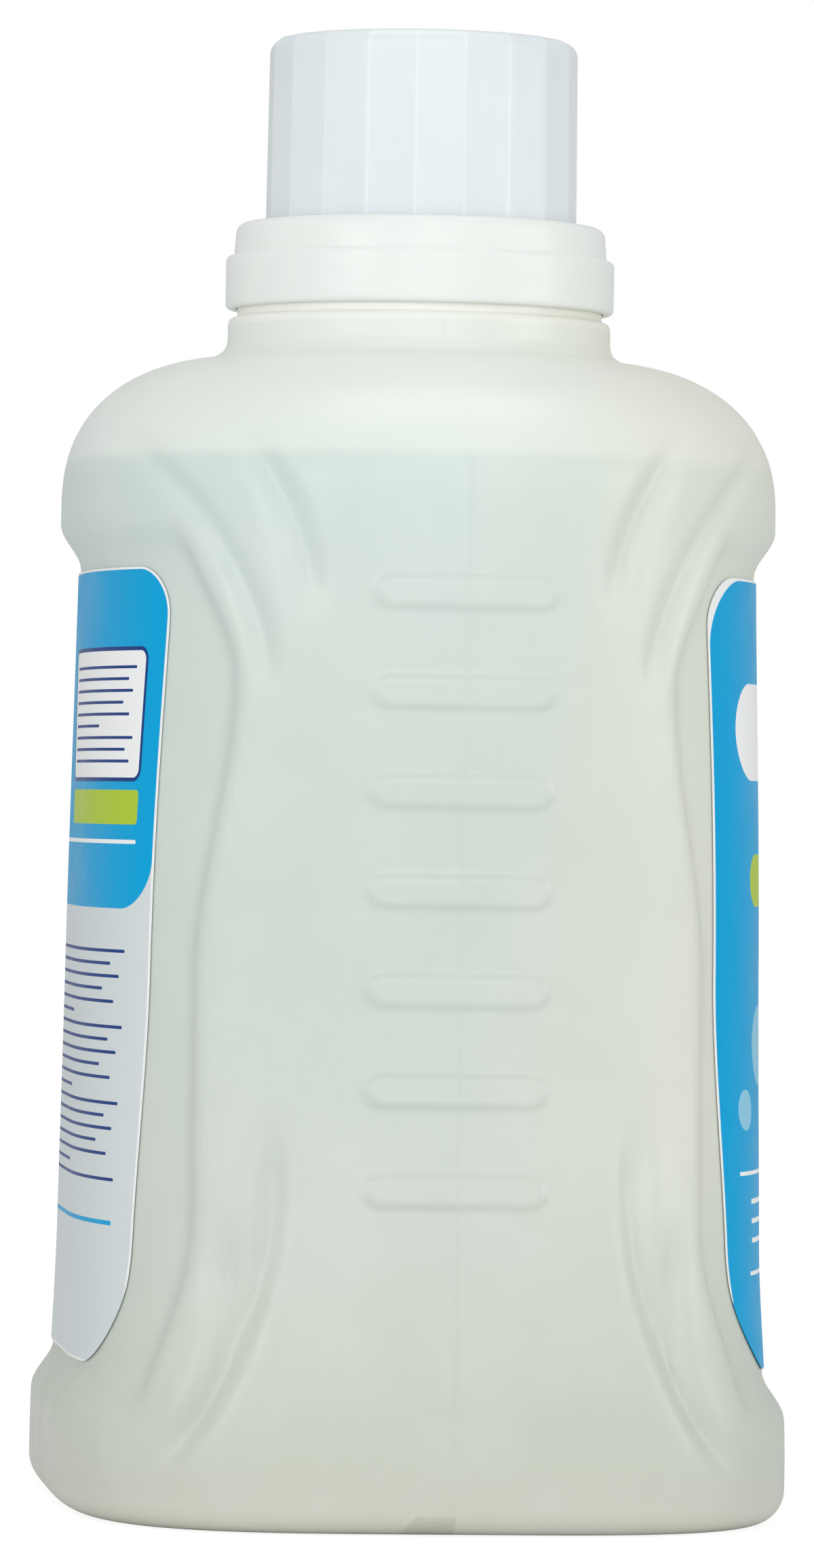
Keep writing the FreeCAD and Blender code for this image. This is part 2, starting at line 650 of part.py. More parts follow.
def main():
    """Make every piece and write one file for each."""
    os.makedirs("parts", exist_ok=True)
    pieces = {
        "bottle": make_bottle(),
        "pour_spout": make_pour_spout(),
        "cap": make_cap(),
        "front_label": make_label(1, FRONT_LABEL_WIDTH),
        "back_label": make_label(-1, BACK_LABEL_WIDTH),
        "detergent": make_detergent(),
    }
    for name, shape in pieces.items():
        solid = shape.Solids[0] if len(shape.Solids) == 1 else shape
        solid.exportStep("parts/" + name + ".step")
        print(name, solid.isValid(), len(shape.Solids), round(solid.Volume), solid.BoundBox)


if __name__ == "__main__":
    main()
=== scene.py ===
"""Laundry detergent bottle: the looks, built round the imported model, which is the fixed frame."""
import logging
import math
from dataclasses import dataclass, field
from enum import Enum

import bmesh
import bpy
import numpy as np
from mathutils import Matrix, Vector


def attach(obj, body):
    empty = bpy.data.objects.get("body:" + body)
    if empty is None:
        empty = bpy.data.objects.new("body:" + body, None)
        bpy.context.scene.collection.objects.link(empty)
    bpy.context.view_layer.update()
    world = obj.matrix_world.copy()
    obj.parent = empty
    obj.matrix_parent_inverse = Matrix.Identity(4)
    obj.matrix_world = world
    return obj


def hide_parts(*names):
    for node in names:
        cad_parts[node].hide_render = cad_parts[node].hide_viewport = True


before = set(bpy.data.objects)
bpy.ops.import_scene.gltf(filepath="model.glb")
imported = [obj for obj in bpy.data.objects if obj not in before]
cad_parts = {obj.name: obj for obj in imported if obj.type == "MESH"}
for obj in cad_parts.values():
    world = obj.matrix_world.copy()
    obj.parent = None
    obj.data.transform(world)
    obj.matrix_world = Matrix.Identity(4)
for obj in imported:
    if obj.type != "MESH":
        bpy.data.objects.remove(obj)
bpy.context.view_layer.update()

LOG = logging.getLogger("bottle_looks")
MM = 0.001
THREAD_START = 202.0
THREAD_PITCH = 5.0
Array = np.ndarray
Material = bpy.types.Material
Node = bpy.types.Node
Socket = bpy.types.NodeSocket
Tree = bpy.types.NodeTree
Stations = tuple[tuple[float, float], ...]
Rgb = tuple[float, float, float]


class Face(Enum):
    """Which wide face of the bottle a label is on, with the sign of X there."""

    FRONT = 1
    BACK = -1


def ease(value: Array, low: float, high: float) -> Array:
    """Ease from 0 at low to 1 at high."""
    share = np.clip((np.asarray(value, float) - low) / (high - low), 0.0, 1.0)
    return share * share * (3 - 2 * share)


def through(level: Array, stations: Stations) -> Array:
    """Ease through (level, size) stations.

    Args:
        level: Heights in millimetres.
        stations: Pairs in rising order of height.

    Returns:
        The size at each height.
    """
    size = np.full(np.shape(level), stations[0][1], float)
    for (low, first), (high, second) in zip(stations, stations[1:]):
        size = np.where(level > low, first + (second - first) * ease(level, low, high), size)
    return size


def linear(red: float, green: float, blue: float) -> Rgb:
    """Turn display colour values into the linear values that shaders take.

    Args:
        red: Red from 0 to 255.
        green: Green from 0 to 255.
        blue: Blue from 0 to 255.

    Returns:
        The linear colour.
    """
    values = []
    for part in (red, green, blue):
        share = part / 255
        values.append(share / 12.92 if share <= 0.04045 else ((share + 0.055) / 1.055) ** 2.4)
    return tuple(values)


def arc(centre: tuple[float, float], radius: float, start: float, end: float, steps: int) -> list:
    """Give the points of an arc in (radius, level).

    Args:
        centre: Its centre.
        radius: Its radius.
        start: First angle in degrees, from outward.
        end: Last angle.
        steps: Number of steps.

    Returns:
        The points.
    """
    points = []
    for step in range(steps + 1):
        turn = math.radians(start + (end - start) * step / steps)
        points.append((centre[0] + radius * math.cos(turn), centre[1] + radius * math.sin(turn)))
    return points


def around(columns: int) -> Array:
    """Evenly spaced angles from -Y, right round the axis."""
    return np.arange(columns) * 2 * math.pi / columns


def placed(radius: Array, angle: Array, level: Array) -> Array:
    """Points in millimetres from radius, angle from -Y and level."""
    spread = np.broadcast_arrays(radius * np.sin(angle), -radius * np.cos(angle), level)
    return np.stack(spread, -1)


def turned(profile: list, angle: Array) -> list:
    """Rings of points round the axis, one for each (radius, level) of a profile."""
    return [placed(radius, angle, level) for radius, level in profile]


def thread(angle: Array, level: float, half: float, sharpness: int, span: tuple) -> Array:
    """Give the share of a screw thread's height.

    Args:
        angle: Angles from -Y.
        level: Level of the ring.
        half: Half the width of the thread.
        sharpness: Power of its outline.
        span: Levels where it starts and ends.

    Returns:
        A share from 0 to 1 at each angle.
    """
    phase = ((level - THREAD_START) / THREAD_PITCH - angle / (2 * math.pi)) % 1.0
    run = float(ease(level, span[0], span[0] + 2) * (1 - ease(level, span[1], span[1] + 2)))
    return run * np.exp(-((phase - 0.5) * THREAD_PITCH / half) ** sharpness)


def quads(rows: int, columns: int, wrap: bool) -> Array:
    """Number the corners of the faces of a grid of points.

    Args:
        rows: Rows of points.
        columns: Points in a row.
        wrap: Join the last column to the first.

    Returns:
        The corners, shaped rows by columns by 4.
    """
    base = np.arange(rows - 1)[:, None] * columns
    here = np.arange(columns if wrap else columns - 1)[None, :]
    after = (here + 1) % columns
    return np.stack([base + here, base + after, base + columns + after, base + columns + here], -1)


def make_piece(name: str, points: Array, faces: list, crease: float = 40.0) -> bpy.types.Object:
    """Make a smooth-shaded mesh object from points in millimetres.

    Args:
        name: Name of the object.
        points: One row for each point.
        faces: Corner numbers of each face.
        crease: Angle in degrees above which an edge stays sharp.

    Returns:
        The new object, linked to the scene.
    """
    mesh = bpy.data.meshes.new(name)
    mesh.from_pydata((points * MM).tolist(), [], [list(map(int, face)) for face in faces])
    tidy = bmesh.new()
    tidy.from_mesh(mesh)
    bmesh.ops.remove_doubles(tidy, verts=tidy.verts, dist=1e-7)
    bmesh.ops.recalc_face_normals(tidy, faces=tidy.faces)
    tidy.to_mesh(mesh)
    tidy.free()
    mesh.shade_smooth()
    mesh.set_sharp_from_angle(angle=math.radians(crease))
    piece = bpy.data.objects.new(name, mesh)
    bpy.context.scene.collection.objects.link(piece)
    return piece


def lathe(grid: Array, first_cap: bool, last_cap: bool, loop: bool = False) -> tuple[Array, list]:
    """Join rings of points into a surface.

    Args:
        grid: Points shaped rows by columns by 3.
        first_cap: Close the first ring with a fan.
        last_cap: Close the last ring with a fan.
        loop: Join the last ring to the first.

    Returns:
        The points and the faces.
    """
    rows, columns = grid.shape[:2]
    points = grid.reshape(-1, 3)
    faces = quads(rows, columns, True).reshape(-1, 4).tolist()
    last = (rows - 1) * columns
    if loop:
        for column in range(columns):
            after = (column + 1) % columns
            faces.append([last + column, last + after, after, column])
    for wanted, start, turn in ((first_cap, 0, -1), (last_cap, last, 1)):
        if wanted:
            ring = points[start:start + columns]
            middle = len(points)
            points = np.vstack([points, ring.mean(0)])
            for column in range(columns):
                after = (column + 1) % columns
                faces.append([start + column, start + after, middle][::turn])
    return points, faces


def settle(piece: bpy.types.Object, finish: Material, body: str, slot: str, *nodes: str) -> None:
    """Dress a piece, ride it on its body and hide the CAD nodes that it replaces.

    Args:
        piece: The finished object.
        finish: Its material.
        body: The CAD body that it moves with.
        slot: The record's material slot; not used.
        nodes: CAD nodes that it replaces.
    """
    piece.data.materials.append(finish)
    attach(piece, body)
    if nodes:
        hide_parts(*nodes)
    LOG.info("%s: %d faces on %s", piece.name, len(piece.data.polygons), body)


class Graph:
    """Short calls for building shader nodes in a material or a node group."""

    def __init__(self, tree: Tree) -> None:
        """Keep the tree that nodes are added to."""
        self.tree = tree

    def add(self, kind: str, **settings: object) -> Node:
        """Add a node.

        Args:
            kind: Its type.
            settings: Its properties.

        Returns:
            The node.
        """
        node = self.tree.nodes.new(kind)
        for key, value in settings.items():
            setattr(node, key, value)
        return node

    def feed(self, socket: Socket, value: object) -> None:
        """Link or set an input.

        Args:
            socket: The input.
            value: Another socket, a number, or a colour or vector.
        """
        if isinstance(value, Socket):
            self.tree.links.new(value, socket)
        elif isinstance(value, (int, float)):
            socket.default_value = value
        else:
            wide = len(socket.default_value)
            socket.default_value = tuple(value)[:wide] + (1.0,) * (wide - len(tuple(value)))

    def sum(self, operation: str, *values: object) -> Socket:
        """Add a Math node.

        Args:
            operation: Its operation.
            values: Its inputs, as sockets or numbers.

        Returns:
            Its result.
        """
        node = self.add("ShaderNodeMath", operation=operation)
        for socket, value in zip(node.inputs, values):
            self.feed(socket, value)
        return node.outputs[0]

    def times(self, *values: object) -> Socket:
        """Multiply two values."""
        return self.sum("MULTIPLY", *values)

    def plus(self, *values: object) -> Socket:
        """Add two values."""
        return self.sum("ADD", *values)

    def minus(self, *values: object) -> Socket:
        """Subtract the second value from the first."""
        return self.sum("SUBTRACT", *values)

    def ramp(self, value: object, *span: float) -> Socket:
        """Add a smooth Map Range.

        Args:
            value: The value to map.
            span: Its low and high ends, and the results there if they aren't 0 and 1.

        Returns:
            The mapped value.
        """
        node = self.add("ShaderNodeMapRange", interpolation_type="SMOOTHSTEP")
        for socket, part in zip(node.inputs, (value, *span)):
            self.feed(socket, part)
        return node.outputs[0]

    def mix(self, share: object, first: object, second: object) -> Socket:
        """Mix two colours.

        Args:
            share: Share of the second colour.
            first: First colour.
            second: Second colour.

        Returns:
            The mixed colour.
        """
        node = self.add("ShaderNodeMix", data_type="RGBA")
        for key, value in (("Factor", share), (6, first), (7, second)):
            self.feed(node.inputs[key], value)
        return node.outputs[2]

    def noise(self, place: object, scale: float, detail: float, rough: float) -> Socket:
        """Add a Noise Texture.

        Args:
            place: Where it is read.
            scale: Its scale.
            detail: Its number of octaves.
            rough: Share of each next octave.

        Returns:
            Its value.
        """
        node = self.add("ShaderNodeTexNoise")
        for key, value in (("Vector", place), ("Scale", scale), ("Detail", detail), ("Roughness", rough)):
            self.feed(node.inputs[key], value)
        return node.outputs["Fac"]

    def split(self, vector: object) -> tuple[Socket, ...]:
        """Take a vector apart.

        Args:
            vector: The vector.

        Returns:
            Its X, Y and Z.
        """
        node = self.add("ShaderNodeSeparateXYZ")
        self.feed(node.inputs[0], vector)
        return tuple(node.outputs)

    def group(self, kind: Tree, **values: object) -> Node:
        """Place a node group.

        Args:
            kind: The group.
            values: Its inputs, with underscores for spaces.

        Returns:
            The group's node.
        """
        node = self.add("ShaderNodeGroup", node_tree=kind)
        for key, value in values.items():
            self.feed(node.inputs[key.replace("_", " ")], value)
        return node


def open_group(name: str, inputs: dict, outputs: tuple) -> tuple[Tree, Graph, dict, dict]:
    """Start a shader node group.

    Args:
        name: Name of the group.
        inputs: Default of each named input, or None for a vector.
        outputs: Names of the outputs, which are all values.

    Returns:
        The group, its graph, its inner inputs by name and its inner outputs by name.
    """
    tree = bpy.data.node_groups.new(name, "ShaderNodeTree")
    for title, default in inputs.items():
        kind = "NodeSocketVector" if default is None else "NodeSocketFloat"
        socket = tree.interface.new_socket(name=title, in_out="INPUT", socket_type=kind)
        if default is not None:
            socket.default_value = default
    for title in outputs:
        tree.interface.new_socket(name=title, in_out="OUTPUT", socket_type="NodeSocketFloat")
    graph = Graph(tree)
    entry = graph.add("NodeGroupInput")
    leave = graph.add("NodeGroupOutput")
    entries = {title: entry.outputs[title] for title in inputs}
    leaves = {title: leave.inputs[title] for title in outputs}
    return tree, graph, entries, leaves


class SharedEffects:
    """Shader node groups that several finishes use."""

    def __init__(self) -> None:
        """Build each group once."""
        self.moulded = self.moulded_skin()
        self.print_shape = self.print_shape_mask()
        self.handling = self.handling_marks()

    def moulded_skin(self) -> Tree:
        """Build the skin of moulded plastic: slow waves, fine grain and faint upright drawing lines.

        Returns:
            The group, which gives height and gloss.
        """
        tree, graph, entry, leave = open_group(
            "moulded_skin", {"Place": None, "Wave": 1.0, "Grain": 1.0, "Lines": 1.0}, ("Height", "Gloss"),
        )
        grain_depth, line_depth, upright, patch_share = 0.035, 0.03, 0.03, 0.75
        slow = graph.times(graph.noise(entry["Place"], 34.0, 1.5, 0.4), entry["Wave"])
        fine = graph.noise(entry["Place"], 1500.0, 2.0, 0.6)
        grain = graph.times(fine, graph.times(entry["Grain"], grain_depth))
        stretched = graph.add("ShaderNodeMapping")
        graph.feed(stretched.inputs["Vector"], entry["Place"])
        graph.feed(stretched.inputs["Scale"], (1.0, 1.0, upright))
        drawn = graph.noise(stretched.outputs["Vector"], 420.0, 2.0, 0.55)
        lines = graph.times(drawn, graph.times(entry["Lines"], line_depth))
        graph.feed(leave["Height"], graph.plus(graph.plus(slow, grain), lines))
        patch = graph.noise(entry["Place"], 90.0, 3.0, 0.6)
        gloss = graph.plus(graph.times(patch, patch_share), graph.times(fine, 1 - patch_share))
        graph.feed(leave["Gloss"], gloss)
        return tree

    def print_shape_mask(self) -> Tree:
        """Build the mask of one printed shape, a box with round corners.

        Returns:
            The group, which gives the whole shape and its outline.
        """
        tree, graph, entry, leave = open_group(
            "print_shape",
            {"Across": 0.0, "Up": 0.0, "Middle Across": 0.0, "Middle Up": 0.0, "Half Across": 1.0,
             "Half Up": 1.0, "Corner": 0.5, "Line": 0.4},
            ("Mask", "Outline"),
        )
        soft = 0.04
        spans = []
        for way in ("Across", "Up"):
            reach = graph.sum("ABSOLUTE", graph.minus(entry[way], entry[f"Middle {way}"]))
            spans.append(graph.plus(graph.minus(reach, entry[f"Half {way}"]), entry["Corner"]))
        outside = [graph.sum("MAXIMUM", span, 0.0) for span in spans]
        corner = graph.sum("SQRT", graph.plus(*[graph.times(span, span) for span in outside]))
        inside = graph.sum("MINIMUM", graph.sum("MAXIMUM", *spans), 0.0)
        distance = graph.minus(graph.plus(corner, inside), entry["Corner"])
        graph.feed(leave["Mask"], graph.ramp(distance, soft, -soft))
        edge = graph.minus(graph.sum("ABSOLUTE", distance), entry["Line"])
        graph.feed(leave["Outline"], graph.ramp(edge, soft, -soft))
        return tree

    def handling_marks(self) -> Tree:
        """Build the few marks of a handled pack: faint scuffs and stray dark specks.

        Returns:
            The group, which gives a mask of each.
        """
        tree, graph, entry, leave = open_group(
            "handling_marks", {"Place": None, "Scuffs": 1.0, "Specks": 1.0}, ("Scuff", "Speck"),
        )
        cell_scale, rarity, smallest, spread = 42.0, 0.93, 0.006, 0.014
        cells = graph.add("ShaderNodeTexVoronoi", feature="F1")
        graph.feed(cells.inputs["Vector"], entry["Place"])
        graph.feed(cells.inputs["Scale"], cell_scale)
        parts = graph.add("ShaderNodeSeparateColor")
        graph.feed(parts.inputs[0], cells.outputs["Color"])
        chosen = graph.sum("GREATER_THAN", parts.outputs[0], rarity)
        size = graph.plus(graph.times(parts.outputs[1], spread), smallest)
        dot = graph.sum("LESS_THAN", cells.outputs["Distance"], size)
        graph.feed(leave["Speck"], graph.times(graph.times(chosen, dot), entry["Specks"]))
        worn = graph.ramp(graph.noise(entry["Place"], 160.0, 6.0, 0.7), 0.62, 0.78)
        where = graph.ramp(graph.noise(entry["Place"], 18.0, 1.0, 0.4), 0.5, 0.7)
        graph.feed(leave["Scuff"], graph.times(graph.times(worn, where), entry["Scuffs"]))
        return tree


class Coat:
    """A material in the making, with the nodes that every finish here has."""

    def __init__(self, name: str, effects: SharedEffects, wave: float, grain: float, lines: float) -> None:
        """Start the material and place the moulded skin in it.

        Args:
            name: Name of the material.
            effects: The shared groups.
            wave: Strength of the skin's slow waves.
            grain: Strength of its fine grain.
            lines: Strength of its drawing lines.
        """
        self.material = bpy.data.materials.new(name)
        self.material.use_nodes = True
        self.graph = Graph(self.material.node_tree)
        self.shader = self.material.node_tree.nodes["Principled BSDF"]
        self.place = self.graph.add("ShaderNodeTexCoord").outputs["Object"]
        self.skin = self.graph.group(effects.moulded, Place=self.place, Wave=wave, Grain=grain, Lines=lines)

    def gloss(self, low: float, high: float) -> Socket:
        """Give a roughness that varies over the skin between two values."""
        return self.graph.ramp(self.skin.outputs["Gloss"], 0.3, 0.7, low, high)

    def flow(self, scale: float, detail: float) -> Socket:
        """Give a mask of soft clouds, from 0 to 1."""
        return self.graph.ramp(self.graph.noise(self.place, scale, detail, 0.5), 0.3, 0.7)

    def emboss(self, strength: float, distance: float) -> None:
        """Raise the surface by the skin's height.

        Args:
            strength: Strength of the bump.
            distance: Its height in metres.
        """
        bump = self.graph.add("ShaderNodeBump")
        bump.inputs["Strength"].default_value = strength
        bump.inputs["Distance"].default_value = distance
        self.graph.feed(bump.inputs["Height"], self.skin.outputs["Height"])
        self.graph.feed(self.shader.inputs["Normal"], bump.outputs[0])

    def close(self, **values: object) -> Material:
        """Finish the material.

        Args:
            values: Inputs of its shader, with underscores for spaces.

        Returns:
            The material.
        """
        for key, value in values.items():
            self.graph.feed(self.shader.inputs[key.replace("_", " ")], value)
        return self.material


@dataclass(frozen=True)
class NaturalPolyethylene:
    """Milky wall, in bands of colour for the liquid behind it and the headspace, with painted fill light on
    the foot and under the collar, and painted warm light on the right side.
    """

    # The first stop is painted fill light on the foot round, which faces down into shade; the stops from
    # 0.2106 up are painted fill light on the finish, in the shade under the collar.
    bands_with_painted_light: tuple = (
        (0.0, (220, 221, 208)), (0.006, (204, 207, 194)), (0.02, (201, 208, 195)), (0.05, (206, 214, 205)),
        (0.1, (207, 217, 209)), (0.15, (209, 221, 214)), (0.1832, (211, 225, 218)), (0.1852, (228, 236, 230)),
        (0.2094, (233, 239, 232)), (0.2106, (252, 252, 245)), (0.2258, (252, 252, 246)),
    )
    tall: float = 0.2258
    wander: float = 0.0012
    # Colour of the painted warm light on the right side of the body.
    painted_warm_light: Rgb = (230, 228, 210)
    cloud: Rgb = (238, 242, 238)
    weld: Rgb = (178, 182, 160)
    weld_middle: float = 0.004
    weld_lean: float = 0.4
    weld_narrowing: float = 0.39
    weld_half: tuple = (0.005, 0.0046)
    weld_top: tuple = (0.0038, 0.0032)
    weld_share: float = 0.4
    speck: Rgb = (70, 66, 58)
    roughness: float = 0.36
    scuffed: float = 0.2
    bump: float = 0.35

    def banded_with_painted_light(self, graph: Graph, place: object, level: object) -> Socket:
        """Colour the wall by height, with painted fill light on the foot and under the collar.

        Args:
            graph: Where the nodes are added.
            place: The place on the wall.
            level: Its height in metres.

        Returns:
            The colour, with slightly uneven borders between the bands.
        """
        uneven = graph.times(graph.minus(graph.noise(place, 14.0, 2.0, 0.5), 0.5), self.wander)
        tone = graph.add("ShaderNodeValToRGB")
        stops = tone.color_ramp.elements
        while len(stops) < len(self.bands_with_painted_light):
            stops.new(0.5)
        for stop, (height, colour) in zip(stops, self.bands_with_painted_light):
            stop.position = height / self.tall
            stop.color = (*linear(*colour), 1.0)
        graph.feed(tone.inputs[0], graph.sum("DIVIDE", graph.plus(level, uneven), self.tall))
        return tone.outputs[0]

    def weld_mask(self, graph: Graph, x: object, level: object) -> Socket:
        """Mask the leaning weld mark at the foot, where the tube was pinched off.

        Args:
            graph: Where the nodes are added.
            x: Place across the mark in metres.
            level: Height in metres.

        Returns:
            The mask.
        """
        leaning = graph.plus(x, graph.minus(self.weld_middle, graph.times(level, self.weld_lean)))
        reach = graph.plus(graph.sum("ABSOLUTE", leaning), graph.times(level, self.weld_narrowing))
        inside = graph.ramp(reach, *self.weld_half, 0.0, self.weld_share)
        return graph.times(inside, graph.ramp(level, *self.weld_top))

    def build(self, effects: SharedEffects) -> Material:
        """Make the material.

        Args:
            effects: The shared groups.

        Returns:
            The material.
        """
        coat = Coat("natural_polyethylene", effects, 1.0, 0.8, 0.3)
        graph, place = coat.graph, coat.place
        x, _, level = graph.split(place)
        # Painted warm light on the +X side of the body, fading out towards the foot.
        warm_light_share = graph.times(graph.ramp(x, -0.005, 0.045), graph.ramp(level, 0.02, 0.075, 0.0, 0.5))
        painted_warm_light = graph.mix(warm_light_share, self.banded_with_painted_light(graph, place, level), linear(*self.painted_warm_light))
        clouds = graph.ramp(graph.noise(place, 60.0, 3.0, 0.55), 0.3, 0.75, 0.0, 0.10)
        milky = graph.mix(clouds, painted_warm_light, linear(*self.cloud))
        welded = graph.mix(self.weld_mask(graph, x, level), milky, linear(*self.weld))
        marks = graph.group(effects.handling, Place=place, Scuffs=0.5, Specks=0.75)
        marked = graph.mix(marks.outputs["Speck"], welded, linear(*self.speck))
        gloss = coat.gloss(self.roughness - 0.05, self.roughness + 0.07)
        rough = graph.plus(gloss, graph.times(marks.outputs["Scuff"], self.scuffed))
        coat.emboss(self.bump, 0.0012)
        return coat.close(Base_Color=marked, Roughness=rough, IOR=1.5)


@dataclass(frozen=True)
class MouldedPolypropylene:
    """Injection-moulded white or frosted plastic, with painted highlights on the corners where it has flats.
    """

    name: str
    shade: Rgb
    deep: Rgb
    roughness: float = 0.34
    bump: float = 0.15
    flats: int = 0
    flats_foot: tuple = (0.2258, 0.2264)
    # Colour of the painted highlights on the corners between flats.
    corner: Rgb = (246, 251, 253)
    highlight_span: tuple = (0.46, 0.495)
    highlight_share: float = 0.42

    def corner_highlight_mask(self, coat: Coat) -> Socket:
        """Mask the thin painted highlights on the corners between flats.

        Args:
            coat: The material in the making.

        Returns:
            The mask.
        """
        graph = coat.graph
        x, y, level = graph.split(coat.place)
        turn = graph.times(graph.sum("ARCTAN2", x, y), self.flats / (2 * math.pi))
        share = graph.sum("FRACT", graph.plus(turn, 0.5))
        away = graph.sum("ABSOLUTE", graph.minus(share, 0.5))
        line = graph.ramp(away, *self.highlight_span, 0.0, self.highlight_share)
        return graph.times(line, graph.ramp(level, *self.flats_foot))

    def build(self, effects: SharedEffects) -> Material:
        """Make the material.

        Args:
            effects: The shared groups.

        Returns:
            The material.
        """
        coat = Coat(self.name, effects, 0.4, 0.1, 0.0)
        colour = coat.graph.mix(coat.flow(45.0, 3.0), linear(*self.shade), linear(*self.deep))
        if self.flats:
            # Painted highlights on the corners between the flats.
            colour = coat.graph.mix(self.corner_highlight_mask(coat), colour, linear(*self.corner))
        gloss = coat.gloss(self.roughness - 0.04, self.roughness + 0.05)
        coat.emboss(self.bump, 0.0008)
        return coat.close(Base_Color=colour, Roughness=gloss, IOR=1.49)


@dataclass(frozen=True)
class PrintShape:
    """One flat shape of the print, placed in millimetres across from the middle and up from the base."""

    across: float
    up: float
    half_across: float
    half_up: float
    corner: float
    colour: Rgb
    line: float = 0.0


@dataclass(frozen=True)
class PrintedPaper:
    """Label stock with plain printed shapes and a white rim."""

    name: str
    face: Face
    paper: Rgb
    shapes: tuple
    roughness: float = 0.33
    specular: float = 0.07
    bump: float = 0.12

    def build(self, effects: SharedEffects) -> Material:
        """Make the material.

        Args:
            effects: The shared groups.

        Returns:
            The material.
        """
        coat = Coat(self.name, effects, 0.6, 0.4, 0.0)
        graph = coat.graph
        _, y, level = graph.split(coat.place)
        across, up = graph.times(y, self.face.value / MM), graph.times(level, 1 / MM)
        colour = linear(*self.paper)
        for shape in self.shapes:
            mark = graph.group(
                effects.print_shape, Across=across, Up=up, Middle_Across=shape.across, Middle_Up=shape.up,
                Half_Across=shape.half_across, Half_Up=shape.half_up, Corner=shape.corner, Line=shape.line,
            )
            part = mark.outputs["Outline" if shape.line else "Mask"]
            colour = graph.mix(part, colour, linear(*shape.colour))
        gloss = coat.gloss(self.roughness - 0.04, self.roughness + 0.06)
        coat.emboss(self.bump, 0.0008)
        return coat.close(Base_Color=colour, Specular_IOR_Level=self.specular, Roughness=gloss)


@dataclass(frozen=True)
class ClearDetergent:
    """The liquid, seen only through the open mouth."""

    tint: Rgb = (222, 226, 196)
    deep: Rgb = (212, 218, 186)

    def build(self, effects: SharedEffects) -> Material:
        """Make the material.

        Args:
            effects: The shared groups.

        Returns:
            The material.
        """
        coat = Coat("clear_detergent", effects, 0.3, 0.0, 0.0)
        colour = coat.graph.mix(coat.flow(30.0, 2.0), linear(*self.tint), linear(*self.deep))
        gloss = coat.gloss(0.03, 0.07)
        return coat.close(Base_Color=colour, Roughness=gloss, IOR=1.36, Transmission_Weight=0.35)


